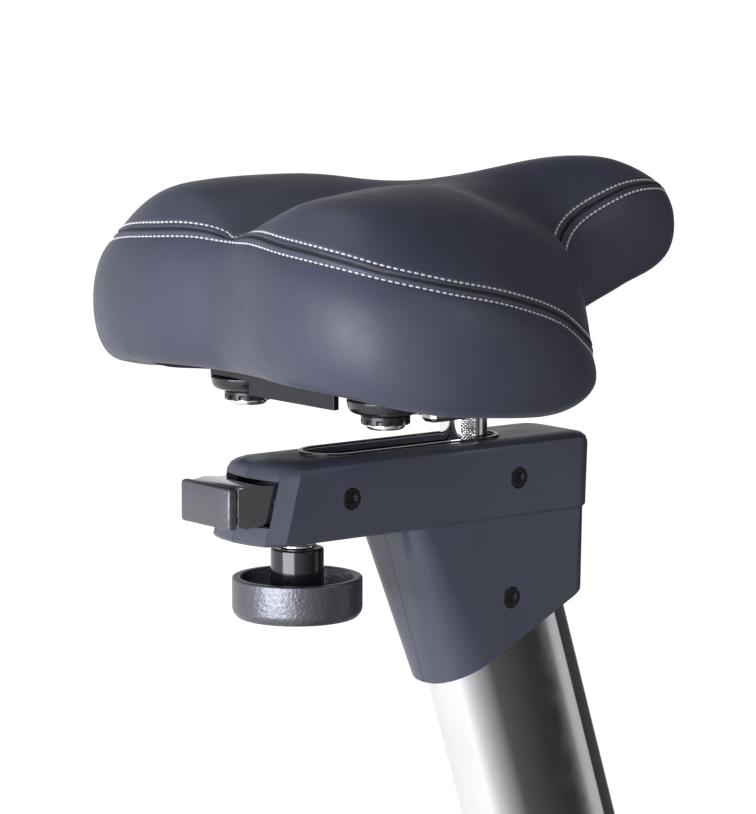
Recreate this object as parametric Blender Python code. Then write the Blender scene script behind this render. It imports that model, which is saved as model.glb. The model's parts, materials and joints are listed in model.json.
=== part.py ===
"""Exercise bike saddle on its adjustable post head.

The part is a padded saddle on a sprung under-frame, a stem that slides fore and aft in a steel rail,
a two-piece plastic housing, a release lever with its linkage, a clamp knob, and the flat-oval seat post.

Frame: metres, +Z up, +X towards the saddle's nose, +Y to the rider's left.
The origin is the centre of the post's bottom face. Lengths below are in millimetres, in the head frame:
its origin is where the post's axis meets the underside of the housing's beam.
"""

import math

import bmesh
import bpy
from mathutils import Matrix, Vector

MM = 0.001
GAP = 0.3                      # left between neighbours that touch on the real object

# Post
POST_TILT = math.radians(17.5)  # the post leans back from its foot to the saddle
POST_LENGTH = 420.0
POST_HALF_LENGTH = 40.0        # fore and aft
POST_HALF_WIDTH = 20.0
POST_WALL = 2.0
PLUG_FLANGE = 4.0
PLUG_DEPTH = 26.0
ROD_RADIUS = 4.0

# Housing beam
BEAM_HALF_WIDTH = 24.8
BEAM_TOP = 36.0
BEAM_SIDE_TOP = 31.0
BEAM_FRONT = 62.0
BEAM_REAR_TOP = -124.0         # rear end on the centre line, at the top
BEAM_REAR_SLOPE = 0.272        # how far the rear end runs back for each millimetre down
BEAM_SIDE_REAR = 11.6          # the side face starts this far in front of the rear end
BEZEL_HALF_WIDTH = 19.5
COVER_WALL = 3.0
FRONT_RADIUS = 12.0

# Housing tower, which covers the post's top
TOWER_HALF_WIDTH = 23.4
TOWER_WALL = 2.2
TOWER_REAR = (-50.7, -23.4)    # at the top and at the bottom
TOWER_FRONT = (58.6, 57.6)
TOWER_BOTTOM = (-78.0, -37.5)  # height of the bottom edge at the rear and at the front
TOWER_RADIUS = 9.0            # of its corners at the top
TOWER_REAR_RADIUS = 21.5      # of its rear corners at the bottom

# Slot, rail and stem
SLOT_REAR = -90.7
SLOT_FRONT = 15.0
SLOT_HALF_WIDTH = 12.5
RAIL_HALF_WIDTH = 18.0
RAIL_WALL = 3.0
RAIL_BOTTOM = 6.0
RAIL_TOP = 31.0
RAIL_REAR = -112.0
RAIL_FRONT = 46.0
STEM_RADIUS = 11.1
STEM_TOP = 66.0
SLIDER_HALF_LENGTH = 20.0

# Saddle clamp
CLAMP_X = -24.0
CLAMP_Z = 60.0
RAIL_ROD_RADIUS = 3.5
RAIL_ROD_Y = 18.0
RAIL_ROD_Z = 72.0
NOSE_PIVOT = (92.0, 0.0, 117.0)

# Rear bumpers under the saddle
BUMPER_X = -86.7
BUMPER_Y = 51.5
BRACKET_Z = 67.0

# Clamp knob
KNOB_X = -97.2
KNOB_RADIUS = 29.7
KNOB_BOTTOM = -37.4
KNOB_RIM = -19.0
HUB_RADIUS = 12.15
HUB_TOP = -5.7
STUD_RADIUS = 4.9

# Release lever and its linkage
LEVER_PIVOT = (-121.0, 0.0, 19.0)
LEVER_ARM = 15.0
PAD_REAR = -148.7
PAD_HALF_WIDTH = 18.8
PAD_Z = (9.3, 28.3)
CRANK_PIVOT = (14.0, 0.0, -11.0)
BAR_Z = (2.9, 5.5)

SCREWS = ((-84.7, 18.3), (13.3, 18.3), (10.3, -38.2))

# Saddle, one row for each station round half of its outline, from the rear centre to the nose tip: widest
# line x and y, seam height, seam inset, bottom height, bottom inset, x where its rib meets the centre, and
# how sharply the top turns in above the seam.
SADDLE = (
    (-143.0, 0.0, 135.5, 8.0, 76.5, 13.0, -128.0, 2.4),
    (-147.0, 21.0, 136.5, 8.0, 77.0, 14.0, -120.0, 3.0),
    (-151.0, 48.0, 134.8, 8.0, 76.5, 14.0, -109.0, 5.0),
    (-149.0, 79.0, 132.0, 9.0, 75.5, 14.0, -95.0, 7.5),
    (-136.0, 105.0, 127.5, 9.0, 72.0, 14.0, -80.0, 7.5),
    (-108.0, 122.5, 121.0, 8.0, 67.0, 14.0, -62.0, 6.0),
    (-71.0, 125.0, 113.5, 7.0, 63.5, 14.0, -42.0, 6.0),
    (-33.0, 115.0, 102.0, 5.0, 60.5, 14.0, -24.0, 8.0),
    (-5.0, 98.0, 87.0, 2.0, 61.5, 14.0, -12.0, 13.0),
    (12.0, 78.0, 83.0, 2.0, 67.0, 12.0, 0.0, 15.0),
    (19.0, 57.0, 112.0, 4.0, 78.0, 9.0, 20.0, 5.0),
    (39.0, 40.0, 134.0, 5.0, 92.0, 8.0, 42.0, 2.8),
    (72.0, 35.5, 147.5, 4.0, 104.0, 8.0, 72.0, 2.4),
    (98.0, 29.0, 149.0, 4.0, 110.0, 8.0, 97.0, 2.2),
    (116.0, 17.0, 145.0, 4.0, 114.0, 9.0, 113.0, 2.2),
    (124.0, 0.0, 140.0, 4.0, 117.0, 10.0, 120.0, 2.2),
)
# Heights of the top: x, then z on the centre line and at each ROW_STEP beside it.
ROW_STEP = 20.0
TOP = (
    (-146.0, 135.0, 141.0, 147.0, 148.0, 145.0, 140.0),
    (-125.0, 139.0, 147.0, 154.5, 156.0, 153.0, 147.0),
    (-103.0, 144.0, 152.0, 157.5, 158.5, 155.5, 149.0),
    (-81.0, 149.0, 155.5, 159.5, 159.0, 155.0, 147.0),
    (-58.0, 152.0, 156.5, 159.5, 157.0, 151.0, 142.0),
    (-38.0, 154.0, 156.5, 156.5, 152.5, 145.0, 134.0),
    (-18.0, 156.0, 155.5, 150.0, 144.5, 137.0, 124.0),
    (-4.0, 158.0, 155.0, 146.0, 138.5, 127.0, 114.0),
    (8.0, 159.5, 154.0, 142.0, 132.0, 121.0, 108.0),
    (24.0, 161.5, 154.0, 138.0, 124.0, 112.0, 102.0),
    (45.0, 163.7, 159.0, 146.0, 130.0, 120.0, 110.0),
    (63.0, 164.4, 161.0, 151.0, 140.0, 130.0, 120.0),
    (82.0, 163.2, 160.0, 152.0, 140.0, 130.0, 120.0),
    (96.0, 159.6, 157.0, 150.0, 140.0, 130.0, 120.0),
    (112.0, 152.6, 150.0, 145.0, 140.0, 130.0, 120.0),
    (122.0, 147.0, 145.0, 140.0, 136.0, 130.0, 120.0),
    (132.0, 137.0, 136.0, 134.0, 130.0, 126.0, 120.0),
)
CAVITY_INSET = 26.0
CAVITY_ENDS = (-107.0, 114.0)  # where the hollow's ceiling starts and ends on the centre line
CAVITY_RISE = 22.0
CAVITY_DOME = 12.0             # how much higher its ceiling is along the middle
SHELL_THICKNESS = 3.0
STATIONS = 30                  # ribs along each half of the outline
SHELL_DROP = 3.4
SHELL_SHRINK = 0.955

HEAD = Matrix.Rotation(-POST_TILT, 4, "Y") @ Vector((0.0, 0.0, POST_LENGTH * MM))


# ---------------------------------------------------------------------------------------- helpers


def clear_scene():
    for obj in list(bpy.data.objects):
        bpy.data.objects.remove(obj)


def material(name, rgb, roughness, metallic):
    made = bpy.data.materials.new(name)
    made.use_nodes = True
    shader = made.node_tree.nodes["Principled BSDF"]
    shader.inputs["Base Color"].default_value = (*rgb, 1.0)
    shader.inputs["Roughness"].default_value = roughness
    shader.inputs["Metallic"].default_value = metallic
    return made


def pivot(name, at, parent=None):
    """An empty at a place in the head frame. What moves with a joint has its empty on the joint's axis."""
    empty = bpy.data.objects.new(name, None)
    bpy.context.scene.collection.objects.link(empty)
    empty.empty_display_size = 0.02
    empty.location = HEAD + Vector(at) * MM
    if parent is not None:
        bpy.context.view_layer.update()
        empty.parent = parent
        empty.matrix_parent_inverse = parent.matrix_world.inverted()
    bpy.context.view_layer.update()
    return empty


def finish(name, bm, finish_material, parent, smooth_angle=35.0):
    """Turns a mesh drawn in head millimetres into an object whose origin is its parent empty's."""
    bmesh.ops.recalc_face_normals(bm, faces=bm.faces)
    if bm.calc_volume(signed=True) < 0:
        bmesh.ops.reverse_faces(bm, faces=bm.faces)
    mesh = bpy.data.meshes.new(name)
    bm.to_mesh(mesh)
    bm.free()
    to_world = Matrix.Translation(HEAD) @ Matrix.Scale(MM, 4)
    mesh.transform(parent.matrix_world.inverted() @ to_world)
    mesh.shade_smooth()
    mesh.set_sharp_from_angle(angle=math.radians(smooth_angle))
    if finish_material is not None:
        mesh.materials.append(finish_material)
    obj = bpy.data.objects.new(name, mesh)
    bpy.context.scene.collection.objects.link(obj)
    obj.parent = parent
    return obj


def loft(loops, caps=True, ring=False):
    """Skins loops of equal length. caps closes both ends; ring joins the last loop to the first."""
    bm = bmesh.new()
    rows = [[bm.verts.new(point) for point in loop] for loop in loops]
    count = len(rows[0])
    pairs = list(zip(rows, rows[1:]))
    if ring:
        pairs.append((rows[-1], rows[0]))
    for low, high in pairs:
        for i in range(count):
            j = (i + 1) % count
            bm.faces.new((low[i], low[j], high[j], high[i]))
    if caps and not ring:
        bm.faces.new(list(reversed(rows[0])))
        bm.faces.new(rows[-1])
    return bm


def block(low, high):
    corners = [(low[0], low[1]), (high[0], low[1]), (high[0], high[1]), (low[0], high[1])]
    return loft([[(x, y, z) for x, y in corners] for z in (low[2], high[2])])


def prism(outline, y_low, y_high):
    """An outline of (x, z) points, extruded along Y."""
    return loft([[(x, y, z) for x, z in outline] for y in (y_low, y_high)])


def plate(outline, z_low, z_high):
    """An outline of (x, y) points, extruded along Z."""
    return loft([[(x, y, z) for x, y in outline] for z in (z_low, z_high)])


def circle(radius, segments, phase=0.0):
    turn = 2 * math.pi / segments
    angles = [i * turn + phase for i in range(segments)]
    return [(radius * math.cos(angle), radius * math.sin(angle)) for angle in angles]


def turned(profile, at, segments=24, axis="Z", ring=False):
    """A (radius, height) profile turned about an axis through a point. A ring has a bore."""
    loops = []
    for radius, height in profile:
        loops.append([Vector((x, y, height)) for x, y in circle(radius, segments)])
    bm = loft(loops, ring=ring)
    if axis == "Y":
        bmesh.ops.rotate(bm, matrix=Matrix.Rotation(-math.pi / 2, 3, "X"), verts=bm.verts)
    bmesh.ops.translate(bm, vec=Vector(at), verts=bm.verts)
    return bm


def rod(start, end, radius, segments=12):
    """A round bar between two points."""
    start, end = Vector(start), Vector(end)
    aim = (end - start).to_track_quat("Z", "Y").to_matrix()
    loops = []
    for centre in (start, end):
        loops.append([centre + aim @ Vector((x, y, 0.0)) for x, y in circle(radius, segments)])
    return loft(loops)


def tube_along(points, radius, segments=8):
    """A round bar that follows a smooth run of points."""
    loops = []
    for i, point in enumerate(points):
        ahead = points[min(i + 1, len(points) - 1)] - points[max(i - 1, 0)]
        side = ahead.cross(Vector((0.0, 0.0, 1.0))).normalized()
        up = side.cross(ahead).normalized()
        loops.append([point + side * x + up * y for x, y in circle(radius, segments)])
    return loft(loops)


def spline(knots, share):
    """A point on the smooth curve through a list of equal-length tuples, at a share of its knots."""
    place = min(max(share, 0.0), 1.0) * (len(knots) - 1)
    i = min(int(place), len(knots) - 2)
    t = place - i
    before = knots[max(i - 1, 0)]
    after = knots[min(i + 2, len(knots) - 1)]
    values = []
    for a, b, c, d in zip(before, knots[i], knots[i + 1], after):
        slope_b, slope_c = (c - a) / 2, (d - b) / 2
        values.append(
            b
            + slope_b * t
            + (3 * (c - b) - 2 * slope_b - slope_c) * t**2
            + (2 * (b - c) + slope_b + slope_c) * t**3
        )
    return values


def bezier(a, b, c, d, t):
    u = 1 - t
    return a * u**3 + 3 * b * u * u * t + 3 * c * u * t * t + d * t**3


def cutter(name, bm, parent):
    obj = finish(name, bm, None, parent)
    obj.hide_render = True
    obj.display_type = "WIRE"
    return obj


def carve(target, *cutters, operation="DIFFERENCE"):
    for tool in cutters:
        modifier = target.modifiers.new(tool.name, "BOOLEAN")
        modifier.operation = operation
        modifier.object = tool
        modifier.solver = "EXACT"


# -------------------------------------------------------------------------------------------- post


def oval(half_length, half_width, quarter=10):
    """A flat oval: two straight sides joined by two half circles."""
    flat = half_length - half_width
    points = []
    for end in (1, -1):
        for i in range(quarter * 2 + 1):
            angle = -math.pi / 2 + math.pi * i / (quarter * 2)
            points.append((end * (flat + half_width * math.cos(angle)), end * half_width * math.sin(angle)))
    return points


def post_point(x, y, along):
    """A point of the post, from its own cross-section and its distance up the axis, in the head frame."""
    turn = Matrix.Rotation(-POST_TILT, 3, "Y")
    return turn @ Vector((x, y, along - POST_LENGTH))


def oval_bar(half_length, half_width, low, high):
    outline = oval(half_length, half_width)
    return loft([[post_point(x, y, t) for x, y in outline] for t in (low, high)])


def post_reach(x, height):
    """How far up the axis a line of the post at x goes to reach a level height in the head frame."""
    return POST_LENGTH + (height - x * math.sin(POST_TILT)) / math.cos(POST_TILT)


def make_post(root, parts):
    outer = oval(POST_HALF_LENGTH, POST_HALF_WIDTH)
    inner = oval(POST_HALF_LENGTH - POST_WALL, POST_HALF_WIDTH - POST_WALL)
    top = RAIL_BOTTOM - GAP
    foot = PLUG_FLANGE + GAP
    loops = (
        [post_point(x, y, foot) for x, y in outer],
        [post_point(x, y, post_reach(x, top)) for x, y in outer],
        [post_point(x, y, post_reach(x, top)) for x, y in inner],
        [post_point(x, y, foot) for x, y in inner],
    )
    post = finish("seat_post", loft(loops, ring=True), parts["chrome"], root)
    notch = cutter("cut_post_notch", block((-60, -8, BAR_Z[0] - 1.5), (-26, 8, top + 4)), root)
    pin = turned(((3.0, -24), (3.0, 24)), CRANK_PIVOT, 12, "Y")
    screw_x, screw_z = SCREWS[2]
    screw = turned(((2.3, -24), (2.3, 24)), (screw_x, 0, screw_z), 12, "Y")
    carve(post, notch, cutter("cut_crank_pin", pin, root), cutter("cut_post_screws", screw, root))

    plug_bar = oval_bar(POST_HALF_LENGTH - POST_WALL - GAP, POST_HALF_WIDTH - POST_WALL - GAP, 2, PLUG_DEPTH)
    flange = oval_bar(POST_HALF_LENGTH, POST_HALF_WIDTH, 0, PLUG_FLANGE)
    plug = finish("post_end_plug", flange, parts["nylon"], root)
    bore = rod(post_point(0, 0, -10), post_point(0, 0, PLUG_DEPTH + 10), ROD_RADIUS + 0.6, 16)
    carve(plug, cutter("join_plug", plug_bar, root), operation="UNION")
    carve(plug, cutter("cut_plug_bore", bore, root))

    slack = POST_WALL + GAP
    guide = oval_bar(POST_HALF_LENGTH - slack, POST_HALF_WIDTH - slack, 214, 222)
    guide_bore = rod(post_point(0, 0, 200), post_point(0, 0, 240), ROD_RADIUS + 0.6, 16)
    guide = finish("push_rod_guide", guide, parts["nylon"], root)
    carve(guide, cutter("cut_guide_bore", guide_bore, root))


# ----------------------------------------------------------------------------------------- housing


def beam_outline(z, inset, centre_y):
    """The right half of the beam's plan at a height, from the rear centre round to the front centre."""
    rear = BEAM_REAR_TOP + (z - BEAM_TOP) * BEAM_REAR_SLOPE + inset
    half = BEAM_HALF_WIDTH - inset
    front = BEAM_FRONT - inset - 0.04 * (BEAM_TOP - z)
    radius = max(FRONT_RADIUS - inset, 2.0)
    points = [(rear, centre_y), (rear + 1.2, -BEZEL_HALF_WIDTH * 0.55)]
    points += [(rear + 3.4, -BEZEL_HALF_WIDTH + inset * 0.6), (rear + BEAM_SIDE_REAR, -half)]
    for i in range(7):
        angle = math.pi / 2 * i / 6
        points.append((front - radius + radius * math.sin(angle), -half + radius - radius * math.cos(angle)))
    points.append((front, centre_y))
    return points


def tower_outline(share, inset, centre_y):
    """The right half of the tower's plan, at a share of the way from its top to its bottom edge."""
    rear = TOWER_REAR[0] + (TOWER_REAR[1] - TOWER_REAR[0]) * share + inset
    front = TOWER_FRONT[0] + (TOWER_FRONT[1] - TOWER_FRONT[0]) * share - inset
    half = TOWER_HALF_WIDTH - inset
    radius = TOWER_RADIUS - inset
    rear_radius = TOWER_RADIUS + (TOWER_REAR_RADIUS - TOWER_RADIUS) * share - inset
    points = [(rear, centre_y)]
    for i in range(8):
        angle = math.pi / 2 * i / 7
        x = rear + rear_radius - rear_radius * math.cos(angle)
        points.append((x, -half + rear_radius - rear_radius * math.sin(angle)))
    for i in range(6):
        angle = math.pi / 2 * i / 5
        points.append((front - radius + radius * math.sin(angle), -half + radius - radius * math.cos(angle)))
    points.append((front, centre_y))
    top = 6.0
    run = TOWER_FRONT[1] - TOWER_REAR[1]
    loop = []
    for x, y in points:
        across = (x - TOWER_REAR[1]) / run
        bottom = TOWER_BOTTOM[0] + (TOWER_BOTTOM[1] - TOWER_BOTTOM[0]) * across
        loop.append((x, y, top + (bottom - top) * share))
    return loop


def mirrored(bm, side):
    """Side -1 is the rider's right, as drawn; side 1 turns the shape over to the left."""
    if side > 0:
        bmesh.ops.scale(bm, vec=(1.0, -1.0, 1.0), verts=bm.verts)
        bmesh.ops.reverse_faces(bm, faces=bm.faces)
    return bm


def slot_outline(half_width, extra, steps=8):
    """The slot's plan with round ends; extra lengthens it at both ends."""
    points = []
    for x, start in ((SLOT_FRONT + extra - half_width, -90), (SLOT_REAR - extra + half_width, 90)):
        for i in range(steps + 1):
            angle = math.radians(start + 180 * i / steps)
            points.append((x + half_width * math.cos(angle), half_width * math.sin(angle)))
    return points


def make_cover(side, root, parts):
    """Half of the housing: the beam's side, top, floor and ends, and half of the tower below."""
    label = "left" if side > 0 else "right"
    split = -GAP / 2
    heights = ((0.0, 1.2), (1.4, 0.0), (BEAM_SIDE_TOP, 0.0), (33.6, 1.0), (35.2, 3.2), (BEAM_TOP, 8.0))
    outer = loft([[(x, y, z) for x, y in beam_outline(z, inset, split)] for z, inset in heights])
    cover = finish(f"{label}_cover", mirrored(outer, side), parts["housing"], root)
    tower = loft([tower_outline(share, 0.0, split) for share in (0.0, 1.0)])
    hollow = loft(
        [
            [(x, y, z) for x, y in beam_outline(z, inset, 2.0)]
            for z, inset in ((2.6, COVER_WALL), (BEAM_SIDE_TOP, COVER_WALL), (BEAM_TOP - 2.6, COVER_WALL + 5))
        ]
    )
    well = loft([tower_outline(share, TOWER_WALL, 2.0) for share in (-0.2, 1.2)])
    mouth_half = BEZEL_HALF_WIDTH + 0.4
    mouth = block((-160, -mouth_half, 8.4), (-112, 3, 28.9))
    slot = plate(slot_outline(SLOT_HALF_WIDTH, 0.0), 28, 45)
    bush_hole = turned(((8.5, -10), (8.5, 10)), (KNOB_X, 0, 0), 20)
    pin_x, _, pin_z = LEVER_PIVOT
    pin_socket = turned(((2.1, -20.6), (2.1, 3)), (pin_x, 0, pin_z), 12, "Y")
    carve(cover, cutter(f"join_{label}_tower", mirrored(tower, side), root), operation="UNION")
    shapes = {"hollow": hollow, "well": well, "mouth": mouth, "slot": slot, "bush": bush_hole, "pin": pin_socket}
    for key, shape in shapes.items():
        carve(cover, cutter(f"cut_{label}_{key}", mirrored(shape, side), root))
    for number, (x, z) in enumerate(SCREWS, 1):
        face = TOWER_HALF_WIDTH if z < 0 else BEAM_HALF_WIDTH
        recess = turned(((5.2, -face - 5), (5.2, -face + 1.5)), (x, 0, z), 16, "Y")
        hole = turned(((2.3, -face - 5), (2.3, -face + 6)), (x, 0, z), 12, "Y")
        carve(cover, cutter(f"cut_{label}_recess_{number}", mirrored(recess, side), root))
        carve(cover, cutter(f"cut_{label}_hole_{number}", mirrored(hole, side), root))
        make_screw(f"{label}_cover_screw_{number}", x, z, face, side, root, parts)


def make_screw(name, x, z, face, side, root, parts):
    """A cap screw with a hexagon socket, its head in the cover's recess."""
    segments = 12
    stations = ((2.0, face - 8.5, True), (2.0, face - 1.2, True), (4.8, face - 1.2, True))
    stations += ((4.8, face - 0.3, True), (4.3, face, True), (2.3, face, False), (2.3, face - 0.9, False))
    loops = []
    for radius, depth, round_section in stations:
        loop = []
        for i in range(segments):
            angle = 2 * math.pi * i / segments
            reach = radius if round_section or i % 2 == 0 else radius * math.cos(math.pi / 6)
            loop.append((x + reach * math.cos(angle), -depth, z + reach * math.sin(angle)))
        loops.append(loop)
    finish(name, mirrored(loft(loops), side), parts["black_steel"], root)


def make_trim(root, parts):
    """The raised lip that frames the slot."""
    outer = slot_outline(SLOT_HALF_WIDTH + 2.4, 2.4)
    inner = slot_outline(SLOT_HALF_WIDTH + 0.2, 0.2)
    low = BEAM_TOP + GAP
    loops = [[(x, y, low) for x, y in outer], [(x, y, low + 1.0) for x, y in outer]]
    loops += [[(x, y, low + 1.0) for x, y in inner], [(x, y, low) for x, y in inner]]
    finish("slot_trim", loft(loops, ring=True), parts["gloss_black"], root)


def make_rail(root, parts):
    """The steel box rail, open along its top where the stem runs."""
    half = RAIL_HALF_WIDTH
    inside = half - RAIL_WALL
    low, high = RAIL_BOTTOM, RAIL_TOP
    outer = [(-half, low), (half, low), (half, high), (-half, high)]
    inner = [(-inside, low + RAIL_WALL), (inside, low + RAIL_WALL)]
    inner += [(inside, high - RAIL_WALL), (-inside, high - RAIL_WALL)]
    loops = [[(x, y, z) for y, z in outer] for x in (RAIL_REAR, RAIL_FRONT)]
    loops += [[(x, y, z) for y, z in inner] for x in (RAIL_FRONT, RAIL_REAR)]
    rail = finish("slide_rail", loft(loops, ring=True), parts["steel"], root)
    track = block((SLOT_REAR - 0.8, -STEM_RADIUS - 0.6, high - 8), (SLOT_FRONT - 2, STEM_RADIUS + 0.6, high + 4))
    stud_hole = turned(((6.0, 0), (6.0, 12)), (KNOB_X, 0, 0), 16)
    hinge_hole = turned(((2.4, -24), (2.4, 24)), (34.0, 0, 13.5), 12, "Y")
    carve(rail, cutter("cut_rail_track", track, root), cutter("cut_rail_stud", stud_hole, root))
    carve(rail, cutter("cut_rail_hinge", hinge_hole, root))
    for number, (x, z) in enumerate(SCREWS[:2], 1):
        hole = turned(((2.6, -24), (2.6, 24)), (x, 0, z), 12, "Y")
        carve(rail, cutter(f"cut_rail_screw_{number}", hole, root))
    pin = turned(((2.1, -17.8), (2.1, 17.8)), (34.0, 0, 13.5), 12, "Y")
    finish("clamp_bar_pin", pin, parts["steel"], root)


# ---------------------------------------------------------------------------------- fore-aft slide


def make_carriage(carriage, parts):
    """The sliding block with its nylon glides, and the knurled stem that stands on it."""
    reach = SLIDER_HALF_LENGTH
    low, high = 16.0, RAIL_TOP - RAIL_WALL - GAP
    finish("slider_block", block((-reach, -12.7, low), (reach, 12.7, high)), parts["steel"], carriage)
    finish("left_glide", block((-reach, 13.0, low), (reach, 14.7, high)), parts["nylon"], carriage)
    finish("right_glide", block((-reach, -14.7, low), (reach, -13.0, high)), parts["nylon"], carriage)
    profile = [(STEM_RADIUS, high + GAP), (STEM_RADIUS, 34.0)]
    for i in range(5):
        z = 36.0 + 2.2 * i
        profile += [(STEM_RADIUS - 0.4, z), (STEM_RADIUS, z + 1.1)]
    profile += [(STEM_RADIUS, STEM_TOP - 1), (STEM_RADIUS - 1, STEM_TOP)]
    profile += [(8.6, STEM_TOP), (8.6, high + GAP + 4)]
    finish("saddle_stem", turned(profile, (0, 0, 0), 20), parts["chrome"], carriage)

    collar = turned(
        ((STEM_RADIUS + GAP, 47.5), (15.2, 47.5), (15.2, 64.5), (STEM_RADIUS + GAP, 64.5)),
        (0, 0, 0),
        24,
        ring=True,
    )
    clamp = finish("stem_clamp", collar, parts["steel"], carriage)
    lug = block((CLAMP_X - 10, -9.0, 50), (-12.5, 9.0, 68))
    bolt_hole = turned(((4.6, -20), (4.6, 20)), (CLAMP_X, 0, CLAMP_Z), 16, "Y")
    carve(clamp, cutter("join_clamp_lug", lug, carriage), operation="UNION")
    bore = turned(((STEM_RADIUS + GAP, 40), (STEM_RADIUS + GAP, 80)), (0, 0, 0), 24)
    carve(clamp, cutter("cut_clamp_bolt", bolt_hole, carriage), cutter("cut_clamp_bore", bore, carriage))
    bolt = turned(((4.1, -36), (4.1, 36)), (CLAMP_X, 0, CLAMP_Z), 16, "Y")
    finish("clamp_bolt", bolt, parts["steel"], carriage)
    for side, label in ((1, "left"), (-1, "right")):
        at = (CLAMP_X, 0, CLAMP_Z)
        disc = [(4.5, 9.3), (11.5, 9.3), (11.5, 12.7), (4.5, 12.7)]
        disc = [(radius, side * y) for radius, y in disc]
        finish(f"{label}_tilt_washer", turned(disc, at, 28, "Y", ring=True), parts["steel"], carriage)
        nut = [(5.0, 23.6), (8.2, 23.6), (8.2, 30.0), (5.0, 30.0)]
        nut = turned([(radius, side * y) for radius, y in nut], at, 6, "Y", ring=True)
        finish(f"{label}_clamp_nut", nut, parts["steel"], carriage)


def make_clamp_drive(foot, knob, bar, root, parts):
    """The knob's cup, hub, stud and washer, the foot that the stud carries, and the bar that it lifts."""
    at = (KNOB_X, 0, 0)
    wall = 4.2
    cup = [(HUB_RADIUS - 4, KNOB_BOTTOM + 0.6), (KNOB_RADIUS - 3.0, KNOB_BOTTOM)]
    cup += [(KNOB_RADIUS - 0.8, KNOB_BOTTOM + 1.4)]
    cup += [(KNOB_RADIUS, KNOB_BOTTOM + 4), (KNOB_RADIUS, KNOB_RIM - 1.2), (KNOB_RADIUS - 1.2, KNOB_RIM)]
    cup += [(KNOB_RADIUS - wall + 0.6, KNOB_RIM), (KNOB_RADIUS - wall, KNOB_RIM - 0.8)]
    cup += [(KNOB_RADIUS - wall - 1, KNOB_BOTTOM + 8), (KNOB_RADIUS - wall - 4, KNOB_BOTTOM + 6)]
    cup += [(HUB_RADIUS - 4, KNOB_BOTTOM + 6)]
    finish("knob_cup", turned(cup, at, 36), parts["textured"], knob)
    low = KNOB_BOTTOM + 6 + GAP
    hub = [(HUB_RADIUS, low), (HUB_RADIUS, HUB_TOP - 1), (HUB_RADIUS - 1, HUB_TOP), (6.0, HUB_TOP)]
    finish("knob_hub", turned(hub, at, 28), parts["gloss_black"], knob)
    washer = [(5.4, HUB_TOP + GAP), (8.6, HUB_TOP + GAP), (8.6, HUB_TOP + 1.6), (5.4, HUB_TOP + 1.6)]
    finish("knob_washer", turned(washer, at, 24, ring=True), parts["chrome"], knob)
    stud = turned(((STUD_RADIUS, HUB_TOP + GAP), (STUD_RADIUS, 8.2)), at, 16)
    finish("knob_stud", stud, parts["chrome"], knob)
    bush = [(5.3, -1.2), (8.1, -1.2), (8.1, RAIL_BOTTOM - GAP), (5.3, RAIL_BOTTOM - GAP)]
    finish("knob_bush", turned(bush, at, 20, ring=True), parts["steel"], root)
    finish("clamp_foot", turned(((5.0, 8.5), (5.0, 10.7), (3.8, 10.9)), at, 16), parts["steel"], foot)
    outline = [(-104, 11.2), (27, 11.2), (30, 9.6), (37, 9.6), (39, 13.5), (37, 17.4), (30, 17.4), (25, 15.7)]
    outline += [(-100, 15.7), (-104, 14.0)]
    lift_bar = finish("clamp_bar", prism(outline, -9, 9), parts["steel"], bar)
    carve(lift_bar, cutter("cut_bar_hinge", turned(((2.5, -12), (2.5, 12)), (34.0, 0, 13.5), 12, "Y"), bar))


# --------------------------------------------------------------------------------- release linkage


def helix_points(radius, pitch, turns, steps, start):
    points = []
    for i in range(turns * steps + 1):
        angle = 2 * math.pi * i / steps
        y = start + pitch * i / steps
        points.append(Vector((radius * math.cos(angle), y, radius * math.sin(angle))))
    return points


def make_coil(points, radius, at):
    """A wire that winds about the Y axis."""
    loops = []
    for i, point in enumerate(points):
        ahead = (points[min(i + 1, len(points) - 1)] - points[max(i - 1, 0)]).normalized()
        side = ahead.cross(Vector((0.0, 1.0, 0.0))).normalized()
        up = side.cross(ahead)
        loops.append([Vector(at) + point + side * x + up * y for x, y in circle(radius, 6)])
    return loft(loops)


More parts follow.
